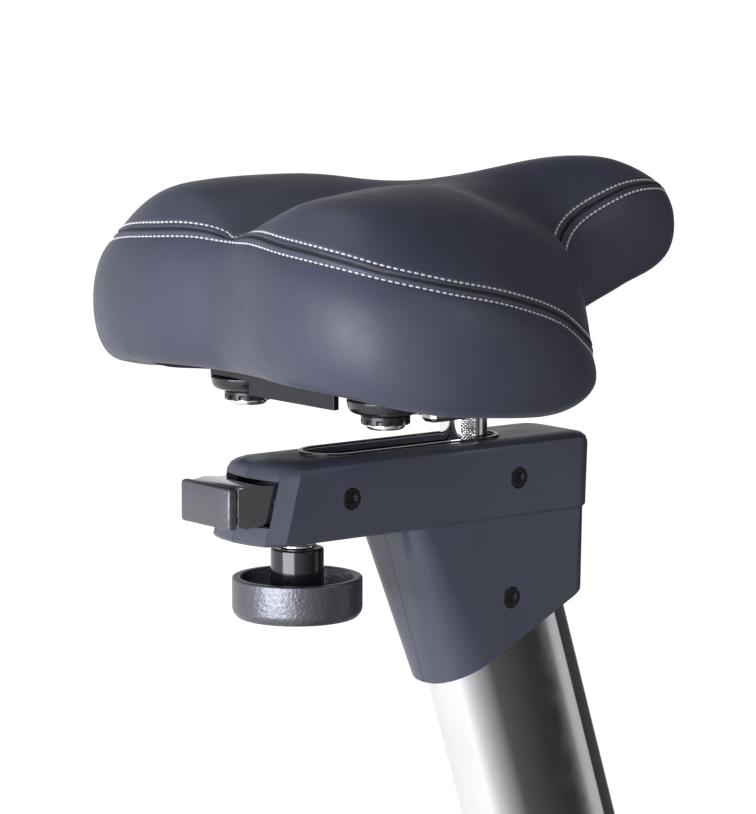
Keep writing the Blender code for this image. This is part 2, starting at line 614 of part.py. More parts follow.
def make_lever(lever, root, parts):
    """The polished release lever with its grip pad, its pin and its return spring."""
    x0, _, z0 = LEVER_PIVOT
    face = PAD_REAR + 5 + GAP
    body = [(face, 11.0), (face + 4, 9.2), (-129, 10.0), (-129, 27.6), (face + 8, 28.4), (face, 27.2)]
    lever_body = finish("lever_body", prism(body, -18.2, 18.2), parts["chrome"], lever)
    cheek = [(-131, 10.6), (x0 + 3, 10.6), (x0 + 5, 13.0), (x0 + 6.5, 24.0), (x0 + 4, 27.2), (-131, 27.6)]
    tip = z0 - LEVER_ARM - 0.9
    arm = [(x0 - 1.8, 12), (x0 - 1.8, tip), (x0 + 1.8, tip), (x0 + 1.8, 12)]
    for side, label in ((1, "left"), (-1, "right")):
        inner, outer, arm_outer = 7.2 * side, 18.2 * side, 11.8 * side
        cheek_prism = prism(cheek, min(inner, outer), max(inner, outer))
        arm_prism = prism(arm, min(inner, arm_outer), max(inner, arm_outer))
        cheek_cutter = cutter(f"join_{label}_cheek", cheek_prism, lever)
        arm_cutter = cutter(f"join_{label}_arm", arm_prism, lever)
        carve(lever_body, cheek_cutter, arm_cutter, operation="UNION")
    carve(lever_body, cutter("cut_lever_pin", turned(((2.1, -24), (2.1, 24)), LEVER_PIVOT, 12, "Y"), lever))
    low, high = PAD_Z
    pad = [(-PAD_HALF_WIDTH, low), (PAD_HALF_WIDTH, low), (PAD_HALF_WIDTH, high), (-PAD_HALF_WIDTH, high)]
    loops = [[(x, y, z) for y, z in pad] for x in (PAD_REAR, PAD_REAR + 5)]
    lever_pad = finish("lever_pad", loft(loops), parts["textured"], lever)
    bevel = lever_pad.modifiers.new("round", "BEVEL")
    bevel.width = 1.6 * MM
    bevel.segments = 2
    finish("lever_pin", turned(((1.8, -20.3), (1.8, 20.3)), LEVER_PIVOT, 12, "Y"), parts["steel"], root)
    wire = helix_points(4.4, 1.8, 5, 8, -4.5)
    finish("lever_spring", make_coil(wire, 0.7, LEVER_PIVOT), parts["steel"], root)


def make_linkage(pull, crank, push, root, parts):
    """The flat pull bar under the rail, the crank that it turns, and the rod that the crank presses."""
    low, high = BAR_Z
    x0 = LEVER_PIVOT[0]
    outline = [(x0 - 4.6, -5), (x0 - 3.9, -10), (x0 - 3.1, -13.2), (x0 + 0.4, -18.4)]
    outline += [(-84, -18.4), (-78, -6), (20, -6)]
    outline += [(x, -y) for x, y in reversed(outline)]
    bar = finish("pull_bar", plate(outline, low, high), parts["steel"], pull)
    for side, label in ((1, "left"), (-1, "right")):
        window = mirrored(block((x0 - 2.4, -12.4, low - 3), (x0 + 2.4, -6.6, high + 3)), side)
        carve(bar, cutter(f"cut_pull_{label}", window, pull))
    stud_slot = block((KNOB_X - 9.0, -9.4, low - 3), (KNOB_X + 12.0, 9.4, high + 3))
    crank_x, _, crank_z = CRANK_PIVOT
    crank_window = block((crank_x - 2.4, -4.2, low - 3), (crank_x + 2.4, 4.2, high + 3))
    carve(bar, cutter("cut_pull_stud", stud_slot, pull), cutter("cut_pull_crank", crank_window, pull))

    tip = crank_z + LEVER_ARM
    arm = [(crank_x - 1.8, crank_z + 4), (crank_x - 1.8, tip + 1.2), (crank_x + 1.8, tip + 1.2)]
    arm += [(crank_x + 1.8, crank_z + 4), (crank_x + 5, crank_z + 1), (crank_x + 4, crank_z - 4)]
    arm += [(crank_x - 4, crank_z - 5), (-0.5, crank_z - 2.5)]
    arm += [(-1.5, crank_z + 0.5), (crank_x - 5, crank_z + 3)]
    release = finish("release_crank", prism(arm, -3.6, 3.6), parts["steel"], crank)
    carve(release, cutter("cut_crank_bore", turned(((2.9, -8), (2.9, 8)), CRANK_PIVOT, 12, "Y"), crank))
    finish("crank_pin", turned(((2.5, -19.6), (2.5, 19.6)), CRANK_PIVOT, 12, "Y"), parts["steel"], root)
    top = post_point(0, 0, POST_LENGTH - 18.5)
    finish("push_rod", rod(post_point(0, 0, 7), top, ROD_RADIUS, 12), parts["steel"], push)


# ------------------------------------------------------------------------------------------ saddle


def top_row(x):
    """The heights of the top across the saddle at x."""
    low, high = 0.0, 1.0
    for _ in range(24):
        middle = (low + high) / 2
        if spline(TOP, middle)[0] < x:
            low = middle
        else:
            high = middle
    return list(spline(TOP, low)[1:])


def top_height(x, y):
    row = top_row(x)
    row.insert(0, row[1])
    row.append(row[-1])
    steps = len(row) - 3
    share = (min(abs(y) / ROW_STEP, steps - 0.001) + 1) / (len(row) - 1)
    return spline([(z,) for z in row], share)[0]


def outline_frame(share):
    """A station of the saddle: its values, and the outward direction in plan."""
    here = spline(SADDLE, share)
    ahead = spline(SADDLE, min(share + 0.01, 1.0))
    behind = spline(SADDLE, max(share - 0.01, 0.0))
    along = Vector((ahead[0] - behind[0], ahead[1] - behind[1]))
    if share in (0.0, 1.0):
        along.x = 0.0
    outward = Vector((-along.y, along.x)).normalized()
    return here, outward


def saddle_rib(share, side, wall_steps, top_steps):
    """Points from the bottom edge up the wall to the seam, then over the top to the centre line."""
    (x, y, seam_z, seam_in, low_z, low_in, centre_x, turn), outward = outline_frame(share)
    wide_z = low_z + 0.5 * (seam_z - low_z)
    points = []
    for i in range(wall_steps):
        t = i / wall_steps
        inset = bezier(low_in, low_in * 0.35, 0.0, 0.0, t)
        points.append((inset, bezier(low_z, low_z, wide_z - 0.55 * (wide_z - low_z), wide_z, t)))
    for i in range(wall_steps + 1):
        t = i / wall_steps
        inset = bezier(0.0, 0.0, seam_in * 0.45, seam_in, t)
        points.append((inset, bezier(wide_z, wide_z + 0.5 * (seam_z - wide_z), seam_z - 4.0, seam_z, t)))
    rib = []
    for inset, z in points:
        rib.append(Vector((x - outward.x * inset, side * (y - outward.y * inset), z)))
    seam = Vector((x - outward.x * seam_in, y - outward.y * seam_in, seam_z))
    for i in range(1, top_steps + 1):
        r = (i / top_steps) ** 1.6
        px = seam.x + (centre_x - seam.x) * r
        py = seam.y * (1 - r)
        rise = 1 - (1 - r) ** turn
        z = seam_z + (top_height(px, py) - seam_z) * rise
        rib.append(Vector((px, side * py, z)))
    return rib


def cavity_rib(share, side, drop=0.0, shrink=1.0):
    """The hollow under the saddle: from inside the bottom edge up to its ceiling on the centre line.
    drop lowers the points, and shrink draws them towards the middle in plan."""
    (x, y, _, _, low_z, _, centre_x, _), outward = outline_frame(share)
    nose = max(0.0, min(1.0, (share - 0.62) / 0.2))
    reach = CAVITY_INSET * (1 - 0.42 * nose)
    rise = CAVITY_RISE * (1 - 0.35 * nose)
    wall = Vector((x - outward.x * reach, side * (y - outward.y * reach), low_z + rise - drop))
    rear, nose_end = SADDLE[0][6], SADDLE[-1][6]
    along = (centre_x - rear) / (nose_end - rear)
    centre_x = CAVITY_ENDS[0] + (CAVITY_ENDS[1] - CAVITY_ENDS[0]) * along
    centre = Vector((centre_x, 0.0, low_z + rise + CAVITY_DOME * math.sin(math.pi * along) - drop))
    middle = sum(CAVITY_ENDS) / 2
    for point in (wall, centre):
        point.x = middle + (point.x - middle) * shrink
        point.y *= shrink
    return [wall, centre]


def stations_round(count):
    """The whole outline: shares along the right half, then back along the left, each with its side."""
    shares = [i / count for i in range(count + 1)]
    right = [(share, -1) for share in shares]
    left = [(share, 1) for share in reversed(shares[1:-1])]
    return right + left


def grid_faces(bm, columns):
    for column, following in zip(columns, columns[1:] + columns[:1]):
        for i in range(len(column) - 1):
            corners = []
            for vertex in (column[i], column[i + 1], following[i + 1], following[i]):
                if vertex not in corners:
                    corners.append(vertex)
            if len(corners) > 2:
                bm.faces.new(corners)


def welded(bm, columns):
    """Vertices for each column, with the points on the centre line shared by both sides."""
    made = {}
    rows = []
    for points in columns:
        row = []
        for point in points:
            key = (round(point.x, 2), round(point.y, 2), round(point.z, 2))
            if key not in made:
                made[key] = bm.verts.new(point)
            row.append(made[key])
        rows.append(row)
    return rows


def make_cushion(flex, parts):
    bm = bmesh.new()
    columns = []
    for share, side in stations_round(STATIONS):
        cavity = cavity_rib(share, side)
        rib = saddle_rib(share, side, 4, 8)
        inner_edge = Vector((cavity[0].x, cavity[0].y, rib[0].z))
        columns.append([cavity[1], cavity[0], inner_edge] + rib)
    grid_faces(bm, welded(bm, columns))
    finish("saddle_cushion", bm, parts["vinyl"], flex, 60)


def make_shell(flex, parts):
    bm = bmesh.new()
    columns = []
    for share, side in stations_round(STATIONS):
        upper = cavity_rib(share, side, SHELL_DROP, SHELL_SHRINK)
        lower = cavity_rib(share, side, SHELL_DROP + SHELL_THICKNESS, SHELL_SHRINK)
        columns.append([lower[1], lower[0], upper[0], upper[1]])
    grid_faces(bm, welded(bm, columns))
    finish("saddle_shell", bm, parts["plastic"], flex, 40)


def rail_rod_points(side):
    """One under-saddle rail: straight through the clamp, up to the nose, and out to the rear bracket."""
    y, z = RAIL_ROD_Y, RAIL_ROD_Z
    knots = [(-98.0, 30.0, 74.0), (-80.0, 28.0, 74.0), (-58.0, 21.0, 73.0), (-38.0, y, z), (-20.0, y, z)]
    knots += [(0.0, y, z), (24.0, y - 2, z + 3), (50.0, 13.0, 91.0), (70.0, 10.0, 106.0), (87.0, 9.0, 110.5)]
    steps = 22
    points = []
    for i in range(steps + 1):
        x, py, pz = spline(knots, i / steps)
        points.append(Vector((x, side * py, pz)))
    return points


def make_under_frame(frame, parts):
    """The two rails, their clamp shoes, the rear bracket and the rubber bumpers bolted to it."""
    for side, label in ((1, "left"), (-1, "right")):
        rail = tube_along(rail_rod_points(side), RAIL_ROD_RADIUS, 8)
        finish(f"{label}_saddle_rail", rail, parts["steel"], frame)
        shoe = mirrored(block((CLAMP_X - 13, -23.3, 48), (CLAMP_X + 13, -13.0, 79)), side)
        shoe = finish(f"{label}_rail_shoe", shoe, parts["steel"], frame)
        channel_y = side * RAIL_ROD_Y
        reach = RAIL_ROD_RADIUS + GAP + 0.2
        channel = rod((CLAMP_X - 30, channel_y, RAIL_ROD_Z), (CLAMP_X + 30, channel_y, RAIL_ROD_Z), reach, 16)
        hole = turned(((4.6, -40), (4.6, 40)), (CLAMP_X, 0, CLAMP_Z), 16, "Y")
        rail_cutter = cutter(f"cut_{label}_shoe_rail", channel, frame)
        bolt_cutter = cutter(f"cut_{label}_shoe_bolt", hole, frame)
        carve(shoe, rail_cutter, bolt_cutter)
        rounding = shoe.modifiers.new("round", "BEVEL")
        rounding.width = 2.0 * MM
        rounding.segments = 1
        shoe.modifiers.move(2, 0)

        at = (BUMPER_X, side * BUMPER_Y, 0)
        bowl = [(4.4, 60.0), (11.0, 60.0), (15.2, 62.0), (17.5, 65.6), (17.5, 66.7), (4.4, 66.7)]
        finish(f"{label}_bumper_cup", turned(bowl, at, 28, ring=True), parts["rubber"], frame)
        bumper = [(4.4, 70.4), (12.0, 70.4), (13.4, 73.5), (13.4, 82.5), (12.0, 85.5), (4.4, 85.5)]
        finish(f"{label}_bumper", turned(bumper, at, 24, ring=True), parts["rubber"], frame)
        bolt = [(8.8, 53.4), (8.8, 59.7), (4.0, 59.7), (4.0, 77.0)]
        finish(f"{label}_bumper_bolt", turned(bolt, at, 16), parts["chrome"], frame)
        ring = [(9.1, 55.8), (11.0, 55.8), (11.0, 59.7), (9.1, 59.7)]
        finish(f"{label}_bumper_nut", turned(ring, at, 24, ring=True), parts["black_steel"], frame)

    z = BRACKET_Z
    bracket = [(BUMPER_X - 14, -62), (BUMPER_X - 5, -69), (BUMPER_X + 5, -69), (BUMPER_X + 14, -62)]
    bracket += [(x, -y) for x, y in reversed(bracket)]
    cross = finish("rear_bracket", plate(bracket, z, z + 3), parts["black_steel"], frame)
    flange = block((BUMPER_X - 14, -32, z - 6.5), (BUMPER_X - 11, 32, z + 1.5))
    carve(cross, cutter("join_bracket_flange", flange, frame), operation="UNION")
    for side, label in ((1, "left"), (-1, "right")):
        hole = turned(((4.5, 60), (4.5, 80)), (BUMPER_X, side * BUMPER_Y, 0), 16)
        carve(cross, cutter(f"cut_{label}_bracket_hole", hole, frame))

    x, _, z = NOSE_PIVOT
    body = block((x - 16, -14.5, z - 11), (x + 1, 14.5, z - 2.2))
    socket = finish("nose_socket", body, parts["plastic"], frame)
    for side, label in ((1, "left"), (-1, "right")):
        reach = RAIL_ROD_RADIUS + GAP + 0.3
        points = rail_rod_points(side)[-5:]
        points.append(points[-1] + (points[-1] - points[-2]) * 0.4)
        hole = tube_along(points, reach, 12)
        carve(socket, cutter(f"cut_{label}_socket", hole, frame))


# -------------------------------------------------------------------------------------------- main


def make_materials():
    return {
        "vinyl": material("vinyl", (0.062, 0.066, 0.092), 0.42, 0.0),
        "housing": material("housing", (0.055, 0.058, 0.078), 0.38, 0.0),
        "plastic": material("plastic", (0.06, 0.06, 0.07), 0.5, 0.0),
        "gloss_black": material("gloss_black", (0.012, 0.012, 0.016), 0.12, 0.0),
        "textured": material("textured", (0.11, 0.11, 0.13), 0.45, 0.3),
        "chrome": material("chrome", (0.85, 0.86, 0.88), 0.06, 1.0),
        "steel": material("steel", (0.5, 0.5, 0.52), 0.35, 1.0),
        "black_steel": material("black_steel", (0.03, 0.03, 0.035), 0.3, 0.8),
        "rubber": material("rubber", (0.02, 0.02, 0.022), 0.7, 0.0),
        "nylon": material("nylon", (0.7, 0.7, 0.68), 0.5, 0.0),
    }


def main():
    clear_scene()
    parts = make_materials()
    root = pivot("root_frame", (0, 0, 0))
    carriage = pivot("carriage_frame", (0, 0, 28), root)
    tilt = pivot("tilt_axis", (CLAMP_X, 0, CLAMP_Z), carriage)
    flex = pivot("nose_axis", NOSE_PIVOT, tilt)
    lever = pivot("lever_axis", LEVER_PIVOT, root)
    pull = pivot("pull_bar_frame", (LEVER_PIVOT[0], 0, BAR_Z[0]), root)
    crank = pivot("crank_axis", CRANK_PIVOT, root)
    push = pivot("push_rod_frame", post_point(0, 0, POST_LENGTH - 18.5), root)
    foot = pivot("clamp_foot_frame", (KNOB_X, 0, 8.5), root)
    knob = pivot("knob_axis", (KNOB_X, 0, 0), foot)
    bar = pivot("clamp_bar_axis", (34.0, 0, 13.5), root)

    make_post(root, parts)
    for side in (1, -1):
        make_cover(side, root, parts)
    make_trim(root, parts)
    make_rail(root, parts)
    make_carriage(carriage, parts)
    make_clamp_drive(foot, knob, bar, root, parts)
    make_lever(lever, root, parts)
    make_linkage(pull, crank, push, root, parts)
    make_under_frame(tilt, parts)
    make_cushion(flex, parts)
    make_shell(flex, parts)


main()
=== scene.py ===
"""Looks for the exercise bike saddle and its adjustable post head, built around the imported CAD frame.

Lengths in the tables are millimetres in the head frame: its origin is where the post's axis meets the
underside of the housing's beam, +X runs to the saddle's nose and +Z up. place() turns them into metres.
"""

import json
import math

import bmesh
import bpy
import numpy as np
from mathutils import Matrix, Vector


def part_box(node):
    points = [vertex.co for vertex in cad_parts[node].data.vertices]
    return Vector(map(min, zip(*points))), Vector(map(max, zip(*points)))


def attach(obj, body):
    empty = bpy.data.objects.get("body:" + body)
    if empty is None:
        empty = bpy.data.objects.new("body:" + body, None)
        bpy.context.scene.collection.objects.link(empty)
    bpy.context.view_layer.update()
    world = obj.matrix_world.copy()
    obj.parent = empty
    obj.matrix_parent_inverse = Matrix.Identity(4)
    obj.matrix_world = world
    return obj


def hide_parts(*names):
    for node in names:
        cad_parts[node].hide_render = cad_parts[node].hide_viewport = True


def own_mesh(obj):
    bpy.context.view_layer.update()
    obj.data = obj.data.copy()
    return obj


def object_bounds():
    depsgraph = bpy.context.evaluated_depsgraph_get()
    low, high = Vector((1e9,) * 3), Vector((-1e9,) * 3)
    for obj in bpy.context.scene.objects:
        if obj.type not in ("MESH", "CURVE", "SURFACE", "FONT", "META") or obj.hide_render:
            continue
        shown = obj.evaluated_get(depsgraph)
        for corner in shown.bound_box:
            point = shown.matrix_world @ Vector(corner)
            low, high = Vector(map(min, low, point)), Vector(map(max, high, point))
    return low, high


MM = 0.001
STEM_TOP = 66.0
SHARP_ANGLE = math.radians(40.0)     # edges of the rebuilt hard pieces that turn by more stay sharp

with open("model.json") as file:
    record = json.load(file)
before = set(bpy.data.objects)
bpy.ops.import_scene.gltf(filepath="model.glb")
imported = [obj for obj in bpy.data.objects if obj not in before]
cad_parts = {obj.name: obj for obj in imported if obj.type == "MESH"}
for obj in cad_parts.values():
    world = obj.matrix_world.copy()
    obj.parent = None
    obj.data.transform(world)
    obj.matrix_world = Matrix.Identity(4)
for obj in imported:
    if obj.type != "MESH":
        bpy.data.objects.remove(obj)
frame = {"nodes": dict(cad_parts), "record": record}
CAD_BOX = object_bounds()
NODES = frame["nodes"]
STEM_LOW, STEM_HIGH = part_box("saddle_stem")
HEAD = Vector(((STEM_LOW.x + STEM_HIGH.x) / 2, 0.0, STEM_HIGH.z - STEM_TOP * MM))


def place(point):
    return HEAD + Vector(point) * MM


# ------------------------------------------------------------------------------------ materials

NOISE_SPREAD = (0.3, 0.7)      # nearly all of a noise texture's values


class Shader:
    """A Principled material whose nodes are added by short calls. Grain and depth are in millimetres."""

    def __init__(self, name, rgb, roughness, metallic=0.0, **sockets):
        self.material = bpy.data.materials.new(name)
        self.material.use_nodes = True
        self.tree = self.material.node_tree
        self.principled = self.tree.nodes["Principled BSDF"]
        self.principled.inputs["Base Color"].default_value = (*rgb, 1.0)
        self.principled.inputs["Roughness"].default_value = roughness
        self.principled.inputs["Metallic"].default_value = metallic
        for socket, value in sockets.items():
            self.principled.inputs[socket.replace("_", " ")].default_value = value
        self.coordinates = self.tree.nodes.new("ShaderNodeTexCoord").outputs["Object"]
        self.normal = None

    def node(self, kind, **settings):
        node = self.tree.nodes.new(kind)
        for name, value in settings.items():
            if name in node.inputs:
                node.inputs[name].default_value = value
            else:
                setattr(node, name, value)
        return node

    def link(self, source, target):
        self.tree.links.new(source, target)

    def stretched(self, scale):
        mapping = self.node("ShaderNodeMapping")
        mapping.inputs["Scale"].default_value = scale
        self.link(self.coordinates, mapping.inputs["Vector"])
        return mapping.outputs["Vector"]

    def noise(self, grain_mm, detail=3.0, vector=None, roughness=0.5):
        node = self.node("ShaderNodeTexNoise", Scale=1000.0 / grain_mm, Detail=detail, Roughness=roughness)
        self.link(vector or self.coordinates, node.inputs["Vector"])
        return node.outputs["Fac"]

    def cells(self, grain_mm):
        node = self.node("ShaderNodeTexVoronoi", feature="SMOOTH_F1", Scale=1000.0 / grain_mm)
        self.link(self.coordinates, node.inputs["Vector"])
        return node.outputs["Distance"]

    def bump(self, height, depth_mm, strength=1.0):
        node = self.node("ShaderNodeBump", Strength=strength, Distance=depth_mm * MM)
        self.link(height, node.inputs["Height"])
        if self.normal:
            self.link(self.normal, node.inputs["Normal"])
        self.normal = node.outputs["Normal"]
        self.link(self.normal, self.principled.inputs["Normal"])

    def tint(self, factor, dark, light):
        """The base colour, from dark where the factor is 0 to light where it is 1."""
        node = self.node("ShaderNodeMix", data_type="RGBA")
        node.inputs["A"].default_value = (*dark, 1.0)
        node.inputs["B"].default_value = (*light, 1.0)
        self.link(factor, node.inputs["Factor"])
        self.link(node.outputs["Result"], self.principled.inputs["Base Color"])

    def vary_roughness(self, factor, low, high):
        node = self.node("ShaderNodeMapRange")
        node.inputs["From Min"].default_value, node.inputs["From Max"].default_value = NOISE_SPREAD
        node.inputs["To Min"].default_value = low
        node.inputs["To Max"].default_value = high
        self.link(factor, node.inputs["Value"])
        self.link(node.outputs["Result"], self.principled.inputs["Roughness"])


def vinyl_material():
    shader = Shader(
        "slate_vinyl", (0.065, 0.07, 0.105), 0.46,
        Specular_IOR_Level=0.4, Sheen_Weight=0.06, Sheen_Roughness=0.4,
    )
    shader.tint(shader.noise(22.0, 4.0), (0.055, 0.059, 0.092), (0.071, 0.076, 0.114))
    shader.vary_roughness(shader.noise(9.0, 3.0), 0.4, 0.5)
    shader.bump(shader.cells(1.5), 0.16, 0.3)
    shader.bump(shader.noise(0.45, 2.0), 0.05, 0.3)
    return shader.material


# Painted shade: a darker copy of the vinyl, laid in the seam's crease between the stitch rows where shade
# falls.
def crease_shade_material():
    shader = Shader("painted_crease_shade", (0.02, 0.021, 0.028), 0.5)
    shader.tint(shader.noise(6.0, 3.0), (0.016, 0.017, 0.022), (0.028, 0.029, 0.038))
    shader.vary_roughness(shader.noise(3.0, 3.0), 0.42, 0.58)
    shader.bump(shader.noise(0.5, 2.0), 0.05, 0.4)
    return shader.material


def thread_material():
    shader = Shader("silver_thread", (0.78, 0.78, 0.8), 0.55, Sheen_Weight=0.25)
    shader.tint(shader.noise(1.2, 2.0), (0.6, 0.6, 0.62), (0.86, 0.86, 0.88))
    shader.bump(shader.noise(0.25, 2.0), 0.08, 0.5)
    return shader.material


def housing_material():
    shader = Shader("satin_housing", (0.072, 0.077, 0.11), 0.32, Specular_IOR_Level=0.55)
    shader.tint(shader.noise(35.0, 3.0), (0.064, 0.069, 0.099), (0.08, 0.085, 0.12))
    shader.vary_roughness(shader.noise(14.0, 4.0), 0.28, 0.38)
    shader.bump(shader.noise(0.32, 2.0), 0.035, 0.35)
    return shader.material


def plastic_material():
    shader = Shader("moulded_plastic", (0.05, 0.05, 0.058), 0.5)
    shader.tint(shader.noise(18.0, 3.0), (0.04, 0.04, 0.048), (0.06, 0.06, 0.068))
    shader.vary_roughness(shader.noise(5.0, 3.0), 0.42, 0.56)
    shader.bump(shader.noise(0.5, 3.0), 0.06, 0.5)
    return shader.material


def gloss_material():
    shader = Shader("gloss_black", (0.008, 0.009, 0.013), 0.14, Coat_Weight=0.35, Coat_Roughness=0.05)
    shader.tint(shader.noise(12.0, 3.0), (0.006, 0.007, 0.01), (0.012, 0.013, 0.019))
    shader.vary_roughness(shader.noise(3.0, 4.0), 0.1, 0.2)
    shader.bump(shader.noise(1.4, 2.0), 0.01, 0.4)
    return shader.material


def hammered_material():
    shader = Shader("hammered_grey", (0.12, 0.12, 0.14), 0.32, 0.8)
    specks = shader.noise(0.55, 3.0, roughness=0.7)
    shader.tint(specks, (0.03, 0.03, 0.038), (0.27, 0.27, 0.31))
    shader.vary_roughness(shader.noise(1.8, 3.0), 0.24, 0.42)
    shader.bump(shader.cells(1.3), 0.22, 0.7)
    shader.bump(specks, 0.12, 0.6)
    return shader.material


def chrome_material():
    shader = Shader("polished_chrome", (0.82, 0.83, 0.85), 0.06, 1.0)
    shader.tint(shader.noise(30.0, 3.0), (0.77, 0.78, 0.8), (0.87, 0.88, 0.9))
    shader.vary_roughness(shader.noise(11.0, 5.0), 0.035, 0.1)
    shader.bump(shader.noise(4.0, 2.0), 0.006, 0.3)
    return shader.material


def steel_material():
    shader = Shader("zinc_steel", (0.46, 0.46, 0.48), 0.32, 1.0)
    grain = shader.noise(0.8, 3.0, shader.stretched((0.06, 1.0, 1.0)))
    shader.tint(shader.noise(7.0, 4.0), (0.36, 0.36, 0.37), (0.56, 0.56, 0.57))
    shader.vary_roughness(grain, 0.25, 0.42)
    shader.bump(grain, 0.02, 0.5)
    return shader.material


def black_steel_material():
    shader = Shader("black_oxide", (0.03, 0.03, 0.035), 0.24, 0.6)
    shader.tint(shader.noise(2.0, 3.0), (0.02, 0.02, 0.024), (0.045, 0.045, 0.052))
    shader.vary_roughness(shader.noise(1.2, 3.0), 0.18, 0.3)
    shader.bump(shader.noise(0.3, 2.0), 0.02, 0.4)
    return shader.material


def rubber_material():
    shader = Shader("black_rubber", (0.02, 0.02, 0.022), 0.6)
    shader.tint(shader.noise(6.0, 3.0), (0.014, 0.014, 0.016), (0.03, 0.03, 0.032))
    shader.vary_roughness(shader.noise(1.5, 3.0), 0.5, 0.68)
    shader.bump(shader.noise(0.4, 3.0), 0.06, 0.5)
    return shader.material


def nylon_material():
    shader = Shader("natural_nylon", (0.62, 0.61, 0.57), 0.45, Subsurface_Weight=0.05)
    shader.tint(shader.noise(9.0, 3.0), (0.54, 0.53, 0.49), (0.68, 0.67, 0.63))
    shader.vary_roughness(shader.noise(2.0, 3.0), 0.38, 0.5)
    shader.bump(shader.noise(0.6, 2.0), 0.03, 0.4)
    return shader.material


MATERIALS = {
    "vinyl": vinyl_material(),
    "seam": crease_shade_material(),
    "thread": thread_material(),
    "housing": housing_material(),
    "plastic": plastic_material(),
    "gloss_black": gloss_material(),
    "textured": hammered_material(),
    "chrome": chrome_material(),
    "steel": steel_material(),
    "black_steel": black_steel_material(),
    "rubber": rubber_material(),
    "nylon": nylon_material(),
}
SLOTS = {part["node"]: part["material_slot"] for part in frame["record"]["subparts"]}


def paint(obj, material):
    obj.data.materials.clear()
    obj.data.materials.append(material)


EDGE_ANGLE = math.radians(32.0)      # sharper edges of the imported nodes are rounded
HOUSING_EDGE = 0.7
OTHER_EDGE = 0.35
NODE_WELD = 0.005


def paint_nodes():
    """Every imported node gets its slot's material, and modifiers that join its faces and round its edges."""
    for name, node in NODES.items():
        paint(node, MATERIALS[SLOTS[name]])
        with bpy.context.temp_override(object=node, active_object=node, selected_objects=[node]):
            bpy.ops.mesh.customdata_custom_splitnormals_clear()
        node.data.shade_smooth()
        weld = node.modifiers.new("weld", "WELD")
        weld.merge_threshold = NODE_WELD * MM
        round_edges = node.modifiers.new("round", "BEVEL")
        round_edges.width = (HOUSING_EDGE if SLOTS[name] == "housing" else OTHER_EDGE) * MM
        round_edges.segments = 2
        round_edges.limit_method = "ANGLE"
        round_edges.angle_limit = EDGE_ANGLE
        round_edges.harden_normals = True


# ------------------------------------------------------------------------------------ mesh helpers

PIECE_WELD = 0.002


def spline(knots, share):
    """A point at share, from 0 to 1, of a smooth curve through the knots."""
    position = share * (len(knots) - 1)
    i = min(int(position), len(knots) - 2)
    t = position - i
    before, a, b, after = (
        np.array(knots[max(0, min(len(knots) - 1, j))], float) for j in (i - 1, i, i + 1, i + 2)
    )
    return 0.5 * (
        2 * a + (b - before) * t + (2 * before - 5 * a + 4 * b - after) * t**2
        + (3 * a - before - 3 * b + after) * t**3
    )


def mesh_object(name, points, faces, material):
    mesh = bpy.data.meshes.new(name)
    mesh.from_pydata([place(p) for p in points], [], faces)
    mesh.validate()
    mesh.update()
    obj = bpy.data.objects.new(name, mesh)
    bpy.context.scene.collection.objects.link(obj)
    mesh.shade_smooth()
    paint(obj, material)
    return obj


def weld_and_face_out(obj):
    bm = bmesh.new()
    bm.from_mesh(obj.data)
    bmesh.ops.remove_doubles(bm, verts=bm.verts, dist=PIECE_WELD * MM)
    bmesh.ops.recalc_face_normals(bm, faces=bm.faces)
    bm.to_mesh(obj.data)
    bm.free()
    obj.data.shade_smooth()


def angles(segments):
    return [2 * math.pi * i / segments for i in range(segments)]


def tube_faces(first, rings, sides):
    """Faces of a tube with closed ends, from rings of points that are numbered from first."""
    faces = []
    for ring in range(rings - 1):
        for i in range(sides):
            a, b = first + ring * sides + i, first + ring * sides + (i + 1) % sides
            faces.append((a, b, b + sides, a + sides))
    faces.append(tuple(first + i for i in reversed(range(sides))))
    faces.append(tuple(first + (rings - 1) * sides + i for i in range(sides)))
    return faces


# ------------------------------------------------------------------------------------ saddle cover

# One row for each station round half of the outline, from the rear centre to the nose tip: widest line x
# and y, seam height, seam inset, bottom height, bottom inset, x where its rib meets the centre, and how
# sharply the top turns in above the seam.
SADDLE = (
    (-143.0, 0.0, 135.5, 8.0, 76.5, 13.0, -128.0, 2.4),
    (-147.0, 21.0, 136.5, 8.0, 77.0, 14.0, -120.0, 3.0),
    (-151.0, 48.0, 134.8, 8.0, 76.5, 14.0, -109.0, 5.0),
    (-149.0, 79.0, 132.0, 9.0, 75.5, 14.0, -95.0, 7.5),
    (-136.0, 105.0, 127.5, 9.0, 72.0, 14.0, -80.0, 7.5),
    (-108.0, 122.5, 121.0, 8.0, 67.0, 14.0, -62.0, 6.0),
    (-71.0, 125.0, 113.5, 7.0, 63.5, 14.0, -42.0, 6.0),
    (-33.0, 115.0, 102.0, 5.0, 60.5, 14.0, -24.0, 8.0),
    (-5.0, 98.0, 87.0, 2.0, 61.5, 14.0, -12.0, 13.0),
    (12.0, 78.0, 83.0, 2.0, 67.0, 12.0, 0.0, 15.0),
    (19.0, 57.0, 112.0, 4.0, 78.0, 9.0, 20.0, 5.0),
    (39.0, 40.0, 134.0, 5.0, 92.0, 8.0, 42.0, 2.8),
    (72.0, 35.5, 147.5, 4.0, 104.0, 8.0, 72.0, 2.4),
    (98.0, 29.0, 149.0, 4.0, 110.0, 8.0, 97.0, 2.2),
    (116.0, 17.0, 145.0, 4.0, 114.0, 9.0, 113.0, 2.2),
    (124.0, 0.0, 140.0, 4.0, 117.0, 10.0, 120.0, 2.2),
)
